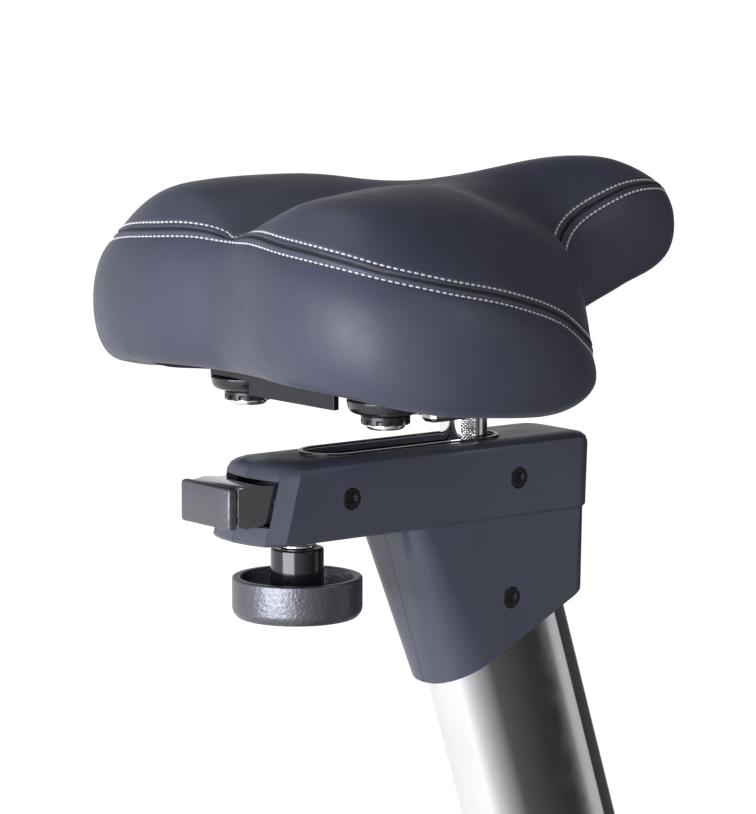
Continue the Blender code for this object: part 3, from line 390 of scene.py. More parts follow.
# Heights of the top: x, then z on the centre line and at each ROW_STEP beside it.
ROW_STEP = 20.0
TOP = (
    (-146.0, 135.0, 141.0, 147.0, 148.0, 145.0, 140.0),
    (-125.0, 139.0, 147.0, 154.5, 156.0, 153.0, 147.0),
    (-103.0, 144.0, 152.0, 157.5, 158.5, 155.5, 149.0),
    (-81.0, 149.0, 155.5, 159.5, 159.0, 155.0, 147.0),
    (-58.0, 152.0, 156.5, 159.5, 157.0, 151.0, 142.0),
    (-38.0, 154.0, 156.5, 156.5, 152.5, 145.0, 134.0),
    (-18.0, 156.0, 155.5, 150.0, 144.5, 137.0, 124.0),
    (-4.0, 158.0, 155.0, 146.0, 138.5, 127.0, 114.0),
    (8.0, 159.5, 154.0, 142.0, 132.0, 121.0, 108.0),
    (24.0, 161.5, 154.0, 138.0, 124.0, 112.0, 102.0),
    (45.0, 163.7, 159.0, 146.0, 130.0, 120.0, 110.0),
    (63.0, 164.4, 161.0, 151.0, 140.0, 130.0, 120.0),
    (82.0, 163.2, 160.0, 152.0, 140.0, 130.0, 120.0),
    (96.0, 159.6, 157.0, 150.0, 140.0, 130.0, 120.0),
    (112.0, 152.6, 150.0, 145.0, 140.0, 130.0, 120.0),
    (122.0, 147.0, 145.0, 140.0, 136.0, 130.0, 120.0),
    (132.0, 137.0, 136.0, 134.0, 130.0, 126.0, 120.0),
)
CAVITY_INSET = 26.0
CAVITY_ENDS = (-107.0, 114.0)
CAVITY_RISE = 22.0
CAVITY_DOME = 12.0
CAVITY_LIP = 0.8
NOSE_SHARES = (0.62, 0.82)     # between these shares of the outline the hollow draws in to the nose
NOSE_INSET = 0.58              # the hollow's inset and rise there, as parts of the rear's
NOSE_RISE = 0.65

STATIONS = 190                 # ribs along each half of the outline
WALL_STEPS = 22
WALL_WIDEST = 0.5              # where the wall is widest, as a share of the way from its bottom to the seam
LOW_CURVE = (0.35, 0.55)       # handles of the wall's curve up to there: share of the inset, of the height
HIGH_CURVE = (0.45, 0.5)       # and of its curve from there up to the seam
SEAM_HANDLE = 4.0              # how far that curve's last handle lies below the seam
TOP_SAMPLES = 600
TOP_STEPS = 60
TOP_CROWDING = 1.6             # higher draws the top's points closer to the seam
SEAM_ZONE = 13.0               # the finely divided band above the lower stitch row
SEAM_STEP = 0.5
BELOW_SEAM = 4.0               # the finely divided band below it
ZONE_LIMITS = (0.8, 0.4)       # the most of a rib that these two bands take, above and below the row
LOW_ROWS = 23                  # rows of the cover below both bands
BELOW_ROWS = 7                 # rows in the lower band
HIGH_ROWS = 33                 # rows above both bands
HIGH_CROWDING = 1.15
STITCH_SEARCH = (-4, 40)       # the rows, counted from the seam's, between which the stitches run
SMOOTH_ROUNDS = 6
ROW_GAP = 7.0                  # between the two rows of stitches
REAR_PINCH = (0.5, 0.03)       # how far the rows draw together at the rear centre, and over what share
CREASE_SHADE_HALF_WIDTH = 0.7                # half the width of the painted shade along the crease between the rows
RELIEF_REACH = 9.0             # the cover is left as it is further than this from the seam's middle
STITCH_PITCH = 3.0
STITCH_LENGTH = 2.65
THREAD_RADIUS = 0.5
THREAD_SIDES = 7
# Rings of a stitch: the share of its length, the share of its radius, and its lift off the cover.
THREAD_RINGS = (
    (0.0, 0.25, -0.45), (0.1, 0.75, -0.1), (0.3, 1.0, 0.2),
    (0.7, 1.0, 0.2), (0.9, 0.75, -0.1), (1.0, 0.25, -0.45),
)


def bezier(a, b, c, d, t):
    return a * (1 - t) ** 3 + 3 * b * t * (1 - t) ** 2 + 3 * c * t**2 * (1 - t) + d * t**3


TOP_CURVE = np.array([spline(TOP, i / TOP_SAMPLES) for i in range(TOP_SAMPLES + 1)])


def top_height(x, y):
    """The height of the saddle's top over a point in plan."""
    row = [np.interp(x, TOP_CURVE[:, 0], TOP_CURVE[:, i]) for i in range(1, TOP_CURVE.shape[1])]
    row = [row[1]] + row + [row[-1]]
    steps = len(row) - 3
    share = (min(abs(y) / ROW_STEP, steps - 0.001) + 1) / (len(row) - 1)
    return spline([(z,) for z in row], share)[0]


def saddle_row(share):
    """The saddle's values at a share of half the outline, which runs smoothly across the centre line."""
    rows = [SADDLE[1], *SADDLE, SADDLE[-2]]
    for end in (0, -1):
        rows[end] = (rows[end][0], -rows[end][1], *rows[end][2:])
    return spline(rows, (1 + share * (len(SADDLE) - 1)) / (len(rows) - 1))


def outline_frame(share):
    """A station of the saddle: its values, and the outward direction in plan."""
    here, ahead, behind = (saddle_row(at) for at in (share, share + 0.01, share - 0.01))
    along_x, along_y = ahead[0] - behind[0], ahead[1] - behind[1]
    if share in (0.0, 1.0):
        along_x = 0.0
    length = math.hypot(along_x, along_y)
    return here, (-along_y / length, along_x / length)


def raw_rib(share):
    """One rib of the left half: the wall up to the seam, then the top to the centre line. Also the number of
    its point on the seam."""
    (x, y, seam_z, seam_in, low_z, low_in, centre_x, turn), outward = outline_frame(share)
    wide_z = low_z + WALL_WIDEST * (seam_z - low_z)
    low_handle = wide_z - LOW_CURVE[1] * (wide_z - low_z)
    high_handle = wide_z + HIGH_CURVE[1] * (seam_z - wide_z)
    profile = []
    for i in range(WALL_STEPS):
        t = i / WALL_STEPS
        inset = bezier(low_in, low_in * LOW_CURVE[0], 0.0, 0.0, t)
        profile.append((inset, bezier(low_z, low_z, low_handle, wide_z, t)))
    for i in range(WALL_STEPS + 1):
        t = i / WALL_STEPS
        inset = bezier(0.0, 0.0, seam_in * HIGH_CURVE[0], seam_in, t)
        profile.append((inset, bezier(wide_z, high_handle, seam_z - SEAM_HANDLE, seam_z, t)))
    rib = [(x - outward[0] * inset, y - outward[1] * inset, z) for inset, z in profile]
    seam_x, seam_y = rib[-1][0], rib[-1][1]
    for i in range(1, TOP_STEPS + 1):
        r = (i / TOP_STEPS) ** TOP_CROWDING
        px = seam_x + (centre_x - seam_x) * r
        py = seam_y * (1 - r)
        rise = 1 - (1 - r) ** turn
        rib.append((px, py, seam_z + (top_height(px, py) - seam_z) * rise))
    return np.array(rib), 2 * WALL_STEPS


def spaced_rib(share):
    """The rib at chosen distances from the seam, close together round it and wider elsewhere, and the
    number of the seam's row."""
    rib, seam = raw_rib(share)
    steps = np.linalg.norm(np.diff(rib, axis=0), axis=1)
    along = np.concatenate(([0.0], np.cumsum(steps)))
    along -= along[seam]
    zone = min(SEAM_ZONE, along[-1] * ZONE_LIMITS[0])
    below = min(BELOW_SEAM, -along[0] * ZONE_LIMITS[1])
    stops = np.concatenate((
        np.linspace(along[0], -below, LOW_ROWS + 1)[:-1],
        np.linspace(-below, 0.0, BELOW_ROWS + 1)[:-1],
        np.linspace(0.0, zone, int(SEAM_ZONE / SEAM_STEP) + 1)[:-1],
        zone + (along[-1] - zone) * np.linspace(0.0, 1.0, HIGH_ROWS + 1) ** HIGH_CROWDING,
    ))
    points = np.stack([np.interp(stops, along, rib[:, axis]) for axis in range(3)], axis=1)
    return points, LOW_ROWS + BELOW_ROWS


def cavity_points(share):
    """The hollow under the saddle, from its ceiling on the centre line to inside the bottom edge."""
    (x, y, _, _, low_z, low_in, centre_x, _), outward = outline_frame(share)
    reach = CAVITY_INSET * np.interp(share, NOSE_SHARES, (1.0, NOSE_INSET))
    rise = CAVITY_RISE * np.interp(share, NOSE_SHARES, (1.0, NOSE_RISE))
    wall = np.array((x - outward[0] * reach, y - outward[1] * reach, low_z + rise))
    rear, nose_end = SADDLE[0][6], SADDLE[-1][6]
    along = (centre_x - rear) / (nose_end - rear)
    ceiling_x = CAVITY_ENDS[0] + (CAVITY_ENDS[1] - CAVITY_ENDS[0]) * along
    ceiling = np.array((ceiling_x, 0.0, low_z + rise + CAVITY_DOME * math.sin(math.pi * along)))
    lip = []
    for t in (0.0, 0.2, 0.4, 0.6, 0.8):
        inset = low_in + (reach - low_in) * (1 - t)
        lip_z = low_z + CAVITY_LIP * math.sin(math.pi * t)
        lip.append((x - outward[0] * inset, y - outward[1] * inset, lip_z))
    inner = [wall + (np.array(lip[0]) - wall) * t for t in (0.0, 0.33, 0.66)]
    roof = [ceiling + (wall - ceiling) * t for t in (0.0, 0.25, 0.5, 0.75)]
    return np.array(roof + inner + lip)


def saddle_grid():
    """Points of the cover as columns round the outline and rows from the hollow's ceiling to the centre line,
    with the row of the lower stitches."""
    columns = []
    for share in [i / STATIONS for i in range(STATIONS + 1)]:
        rib, seam = spaced_rib(share)
        hollow = cavity_points(share)
        columns.append(np.concatenate((hollow, rib)))
    seam += len(hollow)
    right = np.array(columns) * (1.0, -1.0, 1.0)
    left = np.array(columns[1:-1])[::-1]
    return np.concatenate((right, left)), seam


def distance_to_line(points, line):
    """The shortest distance from each point to a closed line."""
    start, step = line, np.roll(line, -1, axis=0) - line
    best = np.full(len(points), 1e9)
    for a, d in zip(start, step):
        offset = points - a
        t = np.clip(offset @ d / max(d @ d, 1e-9), 0.0, 1.0)
        best = np.minimum(best, np.linalg.norm(offset - t[:, None] * d, axis=1))
    return best


def grid_normals(grid):
    """The cover's outward direction at each point of the grid."""
    across = np.roll(grid, -1, axis=0) - np.roll(grid, 1, axis=0)
    along = np.gradient(grid, axis=1)
    normals = np.cross(across, along)
    lengths = np.linalg.norm(normals, axis=2, keepdims=True)
    return normals / np.maximum(lengths, 1e-9)


def seam_gap(share):
    """The distance between the two stitch rows, which draw together at the rear centre."""
    amount, reach = REAR_PINCH
    return ROW_GAP * (1 - amount * math.exp(-((share / reach) ** 2)))


# The cover's dents and swellings across the seam: distance above the lower stitch row, height and width.
RELIEF = (
    (0.0, -0.5, 0.8), (ROW_GAP, -0.5, 0.8), (ROW_GAP / 2, -1.3, 0.5), (ROW_GAP / 2 - 1.5, 0.45, 0.9),
    (ROW_GAP / 2 + 1.5, 0.45, 0.9),
)


def seam_relief(distance):
    """How far the cover stands out, at a signed distance above the lower stitch row."""
    return sum(height * np.exp(-(((distance - at) / width) ** 2)) for at, height, width in RELIEF)


def make_saddle():
    """The cover, with the seam pressed into it between the two rows of stitches, and painted shade darkening
    the crease between them.
    """
    grid, seam = saddle_grid()
    count, rows = grid.shape[:2]
    line = grid[:, seam]
    signed = distance_to_line(grid.reshape(-1, 3), line).reshape(count, rows)
    signed[:, :seam] *= -1
    halves = np.minimum(np.arange(count), count - np.arange(count)) / STATIONS
    signed *= ROW_GAP / np.array([seam_gap(share) for share in halves])[:, None]
    normals = grid_normals(grid)
    near = np.abs(signed - ROW_GAP / 2) < RELIEF_REACH
    grid = grid + normals * (seam_relief(signed) * near)[..., None]
    index = np.arange(count * rows).reshape(count, rows)
    following = np.roll(index, -1, axis=0)
    quads = np.stack((index[:, :-1], index[:, 1:], following[:, 1:], following[:, :-1]), axis=-1)
    faces = quads.reshape(-1, 4).tolist()
    cover = mesh_object("saddle_cover", grid.reshape(-1, 3), faces, MATERIALS["vinyl"])
    # The second material paints shade into the crease between the stitch rows.
    cover.data.materials.append(MATERIALS["seam"])
    middle = ((signed + np.roll(signed, -1, axis=0)) / 2)[:, :-1]
    # Faces this close to the crease's middle get the painted shade.
    band = (np.abs(middle - ROW_GAP / 2) < CREASE_SHADE_HALF_WIDTH).reshape(-1)
    if len(cover.data.polygons) == len(band):     # no face was dropped, so the faces' numbers still fit
        cover.data.polygons.foreach_set("material_index", band.astype(np.int32))
    weld_and_face_out(cover)
    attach(cover, "saddle_top")
    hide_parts("saddle_cushion")
    make_stitches(grid, normals, signed, seam)


def stitch_line(grid, normals, signed, seam, height):
    """Where one row of stitches runs: its points, and the surface's direction there."""
    points, outward = [], []
    first, last = (seam + offset for offset in STITCH_SEARCH)
    for column in range(len(grid)):
        above = int(np.argmax(signed[column, first:last] > height)) + first
        low, high = signed[column, above - 1], signed[column, above]
        t = (height - low) / max(high - low, 1e-6)
        points.append(grid[column, above - 1] * (1 - t) + grid[column, above] * t)
        outward.append(normals[column, above])
    return np.array(points), np.array(outward)


def smooth_loop(values):
    """Evens out the values along a closed line."""
    for _ in range(SMOOTH_ROUNDS):
        values = (np.roll(values, 1, axis=0) + 2 * values + np.roll(values, -1, axis=0)) / 4
    return values


def stitch(points, faces, start, end, outward):
    """One stitch: a short thick thread whose ends dip into the cover."""
    along = end - start
    across = np.cross(outward, along)
    across /= np.linalg.norm(across)
    faces.extend(tube_faces(len(points), len(THREAD_RINGS), THREAD_SIDES))
    for t, share, lift in THREAD_RINGS:
        centre = start + along * t + outward * lift
        reach = THREAD_RADIUS * share
        for angle in angles(THREAD_SIDES):
            points.append(centre + across * (reach * math.cos(angle)) + outward * (reach * math.sin(angle)))


def make_stitches(grid, normals, signed, seam):
    """Two rows of separate stitches round the saddle."""
    for name, height in (("lower_stitches", 0.0), ("upper_stitches", ROW_GAP)):
        line, outward = stitch_line(grid, normals, signed, seam, height)
        line, outward = smooth_loop(line), smooth_loop(outward)
        closed = np.concatenate((line, line[:1]))
        along = np.concatenate(([0.0], np.cumsum(np.linalg.norm(np.diff(closed, axis=0), axis=1))))
        facing = np.concatenate((outward, outward[:1]))
        count = int(along[-1] / STITCH_PITCH)
        pitch = along[-1] / count
        points, faces = [], []

        def at(values, position):
            return np.array([np.interp(position % along[-1], along, values[:, axis]) for axis in range(3)])

        for i in range(count):
            start = i * pitch
            end = start + STITCH_LENGTH
            up = at(facing, start + STITCH_LENGTH / 2)
            stitch(points, faces, at(closed, start), at(closed, end), up / np.linalg.norm(up))
        threads = mesh_object(name, points, faces, MATERIALS["thread"])
        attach(threads, "saddle_top")


# ------------------------------------------------------------------------------------ hard pieces

BODY_OF = {
    node: body for body, nodes in frame["record"]["behaviour"]["bodies"].items() for node in nodes
}
POST_TILT = math.radians(17.5)
POST_LENGTH = 420.0
POST_HALF_LENGTH = 40.0
POST_HALF_WIDTH = 20.0
POST_WALL = 2.0
POST_CROWN = 0.11              # how much the post's flat sides draw in towards its front and back
POST_FOOT = 4.3
POST_CHAMFER = 0.5
POST_TOP = 1.0                 # level in the head frame, just under the pull bar
STEM_RADIUS = 11.1
STEM_BORE = 8.6
STEM_FOOT = 27.7
STEM_FLOOR = 31.7
KNURL_BAND = (34.5, 61.0)
KNURL_ANGLES = (math.radians(-119.0), math.radians(119.0))
KNURL_HALF = math.radians(17.0)
KNURL_PITCH = 1.7
KNURL_DEPTH = 0.5
KNURL_STEP = 0.4
KNURL_SHARPNESS = 1.7          # higher gives flatter diamonds with narrower grooves
KNOB_X = -97.2
KNOB_RADIUS = 29.7
KNOB_BOTTOM = -37.4
KNOB_RIM = -19.0
CUP_INSIDE = 25.5
HUB_RADIUS = 12.15
HUB_TOP = -5.7
BUMPER_X = -86.7
BUMPER_Y = 51.5
# Profiles of the turned pieces round one bumper: radius, z, and how far the corner is rounded.
BOWL = (
    (9.3, 60.0, 0.3), (12.0, 60.0, 2.0), (16.6, 61.6, 3.5), (17.5, 66.7, 0.7),
    (4.4, 66.7, 0.3), (4.4, 62.0, 0.3), (9.3, 62.0, 0.3),
)
BUMPER_BOLT = (
    (0.0, 54.2, 0.0), (3.0, 54.2, 0.4), (3.4, 53.4, 0.3), (7.6, 53.4, 0.8), (8.8, 54.6, 0.6),
    (8.8, 59.7, 0.3), (4.0, 59.7, 0.2), (4.0, 77.0, 0.5), (0.0, 77.0, 0.0),
)
RING_NUT = (
    (9.1, 55.8, 0.2), (11.0, 55.8, 0.3), (11.0, 57.4, 0.0), (11.0, 58.2, 0.0), (11.0, 59.7, 0.3),
    (9.1, 59.7, 0.2),
)
NOTCHES = 12
NOTCH_DEPTH = 1.2
NOTCH_TOP = 57.8
NOTCH_RADIUS = 10.5            # the nut's wall outside this is notched
NOTCH_SHARE = 0.2              # higher gives narrower notches
BUFFER_FOOT = 70.4
BUFFER = (
    (4.4, BUFFER_FOOT, 0.3), (12.0, BUFFER_FOOT, 1.0), (13.4, 73.5, 1.5), (12.6, 77.5, 1.5),
    (13.4, 81.5, 1.5), (12.0, 85.5, 1.5), (4.4, 85.5, 0.3),
)
# A cover screw's profile: radius, distance out from its face, rounding.
SCREW = (
    (0.0, -8.5, 0.0), (2.0, -8.5, 0.3), (2.0, -1.5, 0.0), (4.8, -1.5, 0.2), (4.8, 0.0, 0.7),
    (2.9, 0.0, 0.25), (2.6, -1.3, 0.2), (0.0, -1.3, 0.0),
)
SOCKET_RADIUS = 3.0            # within this, and above SOCKET_DEPTH, the screw's profile is a hexagon
SOCKET_DEPTH = -1.45
SCREW_SEGMENTS = 60
RAIL_ROD_RADIUS = 3.5
RAIL_SIDES = 20
RAIL_STEPS = 80
RAIL_KNOTS = (
    (-98.0, 30.0, 74.0), (-80.0, 28.0, 74.0), (-58.0, 21.0, 73.0), (-38.0, 18.0, 72.0), (-20.0, 18.0, 72.0),
    (0.0, 18.0, 72.0), (24.0, 16.0, 75.0), (50.0, 13.0, 91.0), (70.0, 10.0, 106.0), (87.0, 9.0, 110.5),
)
SIDES = (("left", 1), ("right", -1))


def stand_in(piece, node):
    """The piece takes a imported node's place on the same body."""
    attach(piece, BODY_OF[node])
    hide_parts(node)


def rounded_profile(corners, steps=5):
    """The profile's points, with each corner turned into a short arc of its own length of softness."""
    points = []
    for i, (r, z, soft) in enumerate(corners):
        here = np.array((r, z), float)
        before = np.array(corners[i - 1][:2], float) - here
        after = np.array(corners[(i + 1) % len(corners)][:2], float) - here
        reach = min(soft, 0.45 * np.linalg.norm(before), 0.45 * np.linalg.norm(after))
        if reach < 0.01:
            points.append(here)
            continue
        start = here + before / np.linalg.norm(before) * reach
        end = here + after / np.linalg.norm(after) * reach
        for t in np.linspace(0.0, 1.0, steps + 1):
            points.append(start * (1 - t) ** 2 + 2 * here * t * (1 - t) + end * t**2)
    return points


def ring_faces(rows, segments):
    """Faces of a closed surface of rows of points that each run round it."""
    faces = []
    for row in range(rows):
        for i in range(segments):
            here, following = row * segments, (row + 1) % rows * segments
            faces.append((here + i, here + (i + 1) % segments, following + (i + 1) % segments, following + i))
    return faces


def closed_solid(name, rows, material):
    """A solid from rows of points that each run round it, with its points on the axis joined."""
    points = [point for row in rows for point in row]
    piece = mesh_object(name, points, ring_faces(len(rows), len(rows[0])), material)
    weld_and_face_out(piece)
    piece.data.set_sharp_from_angle(angle=SHARP_ANGLE)
    return piece


def turned(name, corners, at, material, segments=96, relief=None):
    """A solid of revolution about the vertical through at, its radius changed by relief(angle, radius, z)."""
    rows = []
    for r, z in rounded_profile(corners):
        row = []
        for angle in angles(segments):
            reach = r + (relief(angle, r, z) if relief else 0.0)
            row.append((at[0] + reach * math.cos(angle), at[1] + reach * math.sin(angle), z))
        rows.append(row)
    return closed_solid(name, rows, material)


def post_point(x, y, along):
    """A point of the post's own frame, up its axis from the foot, in the head frame."""
    up = along - POST_LENGTH
    return (
        x * math.cos(POST_TILT) - up * math.sin(POST_TILT),
        y,
        x * math.sin(POST_TILT) + up * math.cos(POST_TILT),
    )


def oval_ring(half_length, half_width, quarter=28):
    """A flat oval with faintly crowned sides."""
    flat = half_length - half_width
    points = []
    for end in (1, -1):
        for i in range(quarter * 2 + 1):
            angle = -math.pi / 2 + math.pi * i / (quarter * 2)
            points.append((end * (flat + half_width * math.cos(angle)), end * half_width * math.sin(angle)))
        for i in range(1, 10):
            points.append((end * flat * (1 - i / 5), end * half_width))
    return [(x, y * (1 - POST_CROWN * (x / half_length) ** 2)) for x, y in points]


def make_post():
    """The chromed oval post, up to just under the pull bar inside the housing."""
    outer = oval_ring(POST_HALF_LENGTH, POST_HALF_WIDTH)
    inner = oval_ring(POST_HALF_LENGTH - POST_WALL, POST_HALF_WIDTH - POST_WALL)

    def up_to(height, x):
        """How far up the post a point at x stands at this height in the head frame."""
        return POST_LENGTH + (height - x * math.sin(POST_TILT)) / math.cos(POST_TILT)

    def side_point(x, y, share):
        return post_point(x, y, POST_FOOT + (up_to(POST_TOP, x) - POST_FOOT) * share)

    rows = [[post_point(x, y, POST_FOOT + POST_CHAMFER) for x, y in outer]]
    rows += [[side_point(x, y, share) for x, y in outer] for share in np.linspace(0.02, 1.0, 12)]
    rows.append([side_point(x, y, 1.0) for x, y in inner])
    rows.append([side_point(x, y, 0.0) for x, y in inner])
    stand_in(closed_solid("chromed_post", rows, MATERIALS["chrome"]), "seat_post")


def knurl(angle, radius, z):
    """Diamond knurling in two strips down the stem's sides."""
    if radius < STEM_RADIUS - 0.01 or not KNURL_BAND[0] < z < KNURL_BAND[1]:
        return 0.0
    middle = min(KNURL_ANGLES, key=lambda strip: abs(math.remainder(angle - strip, 2 * math.pi)))
    aside = abs(math.remainder(angle - middle, 2 * math.pi))
    if aside > KNURL_HALF:
        return 0.0
    around, along = angle * STEM_RADIUS / KNURL_PITCH, z / KNURL_PITCH
    cut = min(abs(math.sin(math.pi * (around + along))), abs(math.sin(math.pi * (around - along))))
    return -KNURL_DEPTH * (1 - min(1.0, KNURL_SHARPNESS * cut))


def make_stem():
    """The chromed saddle stem, hollow from its top."""
    wall = [(STEM_RADIUS, z, 0.0) for z in np.arange(*KNURL_BAND, KNURL_STEP)]
    corners = [(0.0, STEM_FOOT, 0.0), (STEM_RADIUS, STEM_FOOT, 0.5)] + wall
    corners += [(STEM_RADIUS, STEM_TOP, 1.2), (STEM_BORE, STEM_TOP, 0.4), (STEM_BORE, STEM_FLOOR, 0.0)]
    corners += [(0.0, STEM_FLOOR, 0.0)]
    stem = turned("knurled_stem", corners, (0, 0), MATERIALS["chrome"], segments=240, relief=knurl)
    stand_in(stem, "saddle_stem")


def make_knob():
    """The clamp knob: a hammered cup on a glossy hub, with a chrome washer above."""
    at = (KNOB_X, 0.0)
    cup = [(0.0, KNOB_BOTTOM + 2.0, 0.0), (9.0, KNOB_BOTTOM + 2.0, 0.6), (10.5, KNOB_BOTTOM + 0.5, 0.8)]
    cup += [(KNOB_RADIUS - 2.4, KNOB_BOTTOM, 1.0), (KNOB_RADIUS, KNOB_BOTTOM + 3.0, 2.4)]
    cup += [(KNOB_RADIUS, KNOB_RIM, 1.0), (CUP_INSIDE + 0.3, KNOB_RIM, 0.8)]
    cup += [(CUP_INSIDE - 0.8, KNOB_BOTTOM + 7.4, 2.5)]
    cup += [(HUB_RADIUS + 1.5, KNOB_BOTTOM + 6.0, 0.6), (0.0, KNOB_BOTTOM + 6.0, 0.0)]
    stand_in(turned("hammered_cup", cup, at, MATERIALS["textured"]), "knob_cup")
    low = KNOB_BOTTOM + 6.3
    hub = [(0.0, low, 0.0), (HUB_RADIUS, low, 0.6), (HUB_RADIUS, HUB_TOP, 1.2), (9.4, HUB_TOP, 0.3)]
    hub += [(9.2, HUB_TOP - 0.6, 0.2), (0.0, HUB_TOP - 0.6, 0.0)]
    stand_in(turned("glossy_hub", hub, at, MATERIALS["gloss_black"]), "knob_hub")
    low, high = HUB_TOP + 0.1, HUB_TOP + 1.7
    washer = [(5.4, low, 0.2), (8.6, low, 0.6), (8.6, high, 0.6), (5.4, high, 0.2)]
    stand_in(turned("chrome_washer", washer, at, MATERIALS["chrome"]), "knob_washer")


def notches(angle, radius, z):
    """Notches round the lower edge of the ring nut."""
    notched = radius > NOTCH_RADIUS and z < NOTCH_TOP and math.sin(NOTCHES * angle) > NOTCH_SHARE
    return -NOTCH_DEPTH if notched else 0.0


def make_bumpers():
    """The rubber buffers over the rear bracket, and the glossy bowls, bolts and ring nuts under it."""
    for label, side in SIDES:
        at = (BUMPER_X, side * BUMPER_Y)
        bowl = turned(f"{label}_bowl", BOWL, at, MATERIALS["gloss_black"])
        stand_in(bowl, f"{label}_bumper_cup")
        bolt = turned(f"{label}_chrome_bolt", BUMPER_BOLT, at, MATERIALS["chrome"], segments=64)
        stand_in(bolt, f"{label}_bumper_bolt")
        steel = MATERIALS["black_steel"]
        nut = turned(f"{label}_slotted_nut", RING_NUT, at, steel, segments=144, relief=notches)
        stand_in(nut, f"{label}_bumper_nut")
        buffer = turned(f"{label}_buffer", BUFFER, at, MATERIALS["rubber"], segments=64)
        stand_in(buffer, f"{label}_bumper")
        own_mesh(buffer)


def make_rails():
    """The two round rails under the saddle."""
    shares = [i / RAIL_STEPS for i in range(RAIL_STEPS + 1)]
    for label, side in SIDES:
        centres = [np.array(spline(RAIL_KNOTS, share)) * (1.0, side, 1.0) for share in shares]
        points = []
        for i, centre in enumerate(centres):
            along = centres[min(i + 1, RAIL_STEPS)] - centres[max(i - 1, 0)]
            along /= np.linalg.norm(along)
            across = np.cross(along, (0.0, 0.0, 1.0))
            across /= np.linalg.norm(across)
            up = np.cross(across, along)
            for angle in angles(RAIL_SIDES):
                points.append(centre + (across * math.cos(angle) + up * math.sin(angle)) * RAIL_ROD_RADIUS)
        faces = tube_faces(0, len(centres), RAIL_SIDES)
        rail = mesh_object(f"{label}_round_rail", points, faces, MATERIALS["steel"])
        rail.data.set_sharp_from_angle(angle=SHARP_ANGLE)
        stand_in(rail, f"{label}_saddle_rail")


def screw_reach(radius, depth, angle):
    """How far out a screw's profile reaches: the wall of its socket is a hexagon."""
    if 0 < radius < SOCKET_RADIUS and depth > SOCKET_DEPTH:
        return radius * math.cos(math.pi / 6) / math.cos(math.remainder(angle, math.pi / 3))
    return radius


def make_screws():
    """The black cap screws in the covers, with hexagon sockets."""
    for label, side in SIDES:
        for number in (1, 2, 3):
            node = f"{label}_cover_screw_{number}"
            low, high = (np.array(corner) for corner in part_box(node))
            centre = ((low + high) / 2 - np.array(HEAD)) / MM
            face = max(abs(low[1]), abs(high[1])) / MM
            rows = []
            for r, depth in rounded_profile(SCREW):
                row = []
                for angle in angles(SCREW_SEGMENTS):
                    reach = screw_reach(r, depth, angle)
                    x, z = centre[0] + reach * math.cos(angle), centre[2] + reach * math.sin(angle)
                    row.append((x, side * (face + depth), z))
                rows.append(row)
            screw = closed_solid(f"{label}_socket_screw_{number}", rows, MATERIALS["black_steel"])
            stand_in(screw, node)


paint_nodes()
make_saddle()
make_post()
make_stem()
make_knob()
make_bumpers()
make_rails()
make_screws()

# ------------------------------------------------------------------------------------ stage, light, camera

TARGET = place((-50.7, 0.0, 54.3))
AZIMUTH = math.radians(-38.0)
ELEVATION = math.radians(8.0)
DISTANCE = 1.789
LENS = 172.5
SENSOR = 36.0
# How bright the studio is around the part and from below to above it, as (share of the turn, brightness).
WORLD_AROUND = (
    (0.0, 0.95), (0.1, 0.95), (0.17, 0.55), (0.24, 0.3), (0.315, 0.13),
    (0.345, 0.07), (0.362, 0.03), (0.374, 0.02), (0.38, 0.4), (0.425, 0.4),
    (0.435, 0.03), (0.57, 0.05), (0.62, 0.5), (0.7, 0.8), (1.0, 0.95),
)
WORLD_UPWARD = ((0.0, 0.8), (0.2, 1.1), (0.4, 1.1), (0.5, 1.0), (0.6, 0.8), (0.75, 0.2), (1.0, 0.1))
WORLD_POWER = 1.15
WORLD_SEEN = 1.3               # what the camera sees of the studio
FLOOR_SEEN = 1.0
FLOOR_GLOW = 0.06              # what the floor adds to the light on the part
FLOOR_HALF = 30.0
FLOOR_GAP = 0.001
# Name, place from the target, width and height, power and colour.
LIGHTS = (
    ("key", (-1.78, -0.45, -0.05), (1.7, 1.2), 46.0, (0.93, 0.96, 1.0)),
    ("fill", (0.7, -1.5, 1.0), (1.0, 1.0), 5.0, (1.0, 1.0, 1.0)),
    ("top", (-0.2, 0.5, 1.7), (1.2, 1.2), 3.5, (1.0, 1.0, 1.0)),
)


def make_camera():
    data = bpy.data.cameras.new("camera")
    data.lens = LENS
    data.sensor_width = SENSOR
    data.clip_start = 0.01
    camera = bpy.data.objects.new("camera", data)
    back = Vector((
        math.sin(AZIMUTH) * math.cos(ELEVATION),
        -math.cos(AZIMUTH) * math.cos(ELEVATION),
        math.sin(ELEVATION),
    ))
    camera.location = TARGET + back * DISTANCE
    camera.rotation_euler = (-back).to_track_quat("-Z", "Y").to_euler()
    bpy.context.scene.collection.objects.link(camera)
    bpy.context.scene.camera = camera


def make_lights():
    for name, offset, size, power, colour in LIGHTS:
        data = bpy.data.lights.new(name, "AREA")
        data.shape = "RECTANGLE"
        data.size, data.size_y = size
        data.energy = power
        data.color = colour
        light = bpy.data.objects.new(name, data)
        light.location = TARGET + Vector(offset)
        light.rotation_euler = (-Vector(offset)).to_track_quat("-Z", "Y").to_euler()
        bpy.context.scene.collection.objects.link(light)
        light.visible_camera = False


def set_or_link(tree, socket, value):
    if isinstance(value, (int, float)):
        socket.default_value = value
    else:
        tree.links.new(value, socket)


def seen_or_lit(tree, socket, seen, lit):
    """Gives a backdrop's strength one value where the camera sees it and another where it lights the part."""
    path = tree.nodes.new("ShaderNodeLightPath")
    strength = tree.nodes.new("ShaderNodeMapRange")
    set_or_link(tree, strength.inputs["To Min"], lit)
    strength.inputs["To Max"].default_value = seen
    tree.links.new(path.outputs["Is Camera Ray"], strength.inputs["Value"])
    tree.links.new(strength.outputs["Result"], socket)


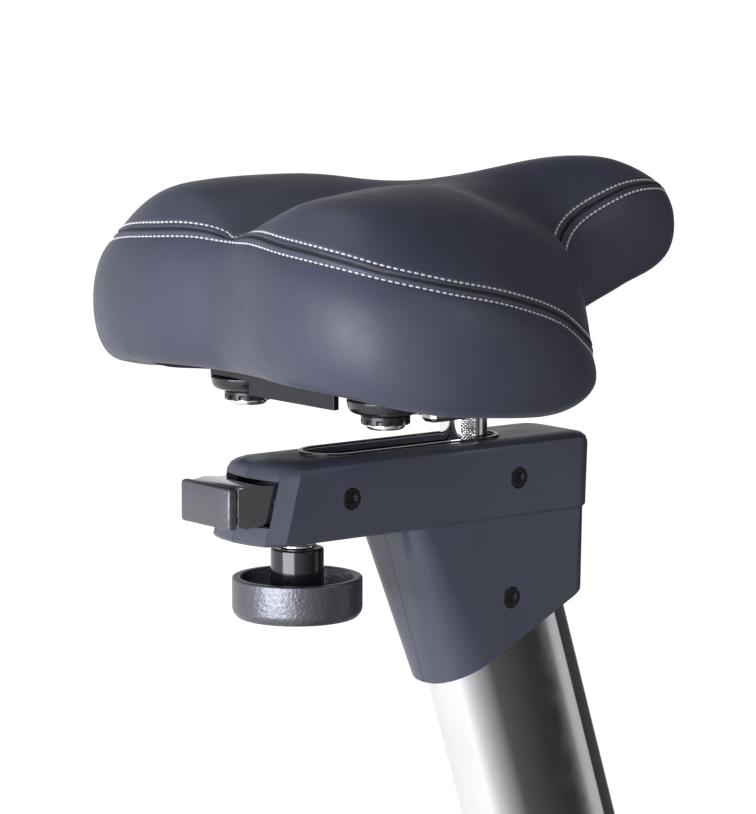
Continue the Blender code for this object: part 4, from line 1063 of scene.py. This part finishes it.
def math_node(tree, operation, *values):
    node = tree.nodes.new("ShaderNodeMath")
    node.operation = operation
    for socket, value in zip(node.inputs, values):
        set_or_link(tree, socket, value)
    return node.outputs[0]


def ramp_node(tree, factor, stops):
    """A grey ramp of (position, value) stops."""
    node = tree.nodes.new("ShaderNodeValToRGB")
    tree.links.new(factor, node.inputs["Fac"])
    elements = node.color_ramp.elements
    elements.remove(elements[1])
    for position, value in stops:
        element = elements[0] if position == stops[0][0] else elements.new(position)
        element.position = position
        element.color = (value, value, value, 1.0)
    return node.outputs["Color"]


def make_world():
    """A white sweep behind and to the rear of the part, and a dark side with one bright strip to its front.
    The turn about the vertical starts at -X and runs by way of -Y, +X and +Y."""
    world = bpy.data.worlds.new("studio")
    bpy.context.scene.world = world
    world.use_nodes = True
    tree = world.node_tree
    direction = tree.nodes.new("ShaderNodeTexCoord").outputs["Generated"]
    split = tree.nodes.new("ShaderNodeSeparateXYZ")
    tree.links.new(direction, split.inputs[0])
    turn = math_node(tree, "ARCTAN2", split.outputs["Y"], split.outputs["X"])
    turn = math_node(tree, "DIVIDE", math_node(tree, "ADD", turn, math.pi), 2 * math.pi)
    around = ramp_node(tree, turn, WORLD_AROUND)
    height = math_node(tree, "MULTIPLY_ADD", split.outputs["Z"], 0.5, 0.5)
    upward = ramp_node(tree, height, WORLD_UPWARD)
    strength = math_node(tree, "MULTIPLY", math_node(tree, "MULTIPLY", around, upward), WORLD_POWER)
    background = tree.nodes["Background"]
    background.inputs["Color"].default_value = (1.0, 1.0, 1.0, 1.0)
    seen_or_lit(tree, background.inputs["Strength"], WORLD_SEEN, strength)


def make_floor():
    low = CAD_BOX[0][2] - FLOOR_GAP
    mesh = bpy.data.meshes.new("floor")
    corners = [(x * FLOOR_HALF, y * FLOOR_HALF, low) for x, y in ((-1, -1), (1, -1), (1, 1), (-1, 1))]
    mesh.from_pydata(corners, [], [(0, 1, 2, 3)])
    floor = bpy.data.objects.new("floor", mesh)
    bpy.context.scene.collection.objects.link(floor)
    material = bpy.data.materials.new("pale_floor")
    material.use_nodes = True
    principled = material.node_tree.nodes["Principled BSDF"]
    principled.inputs["Base Color"].default_value = (0.6, 0.6, 0.61, 1.0)
    principled.inputs["Roughness"].default_value = 0.8
    principled.inputs["Emission Color"].default_value = (1.0, 1.0, 1.0, 1.0)
    seen_or_lit(material.node_tree, principled.inputs["Emission Strength"], FLOOR_SEEN, FLOOR_GLOW)
    paint(floor, material)
    floor.visible_glossy = False


bpy.context.scene.view_settings.view_transform = "Standard"
make_world()
make_floor()
make_lights()
make_camera()
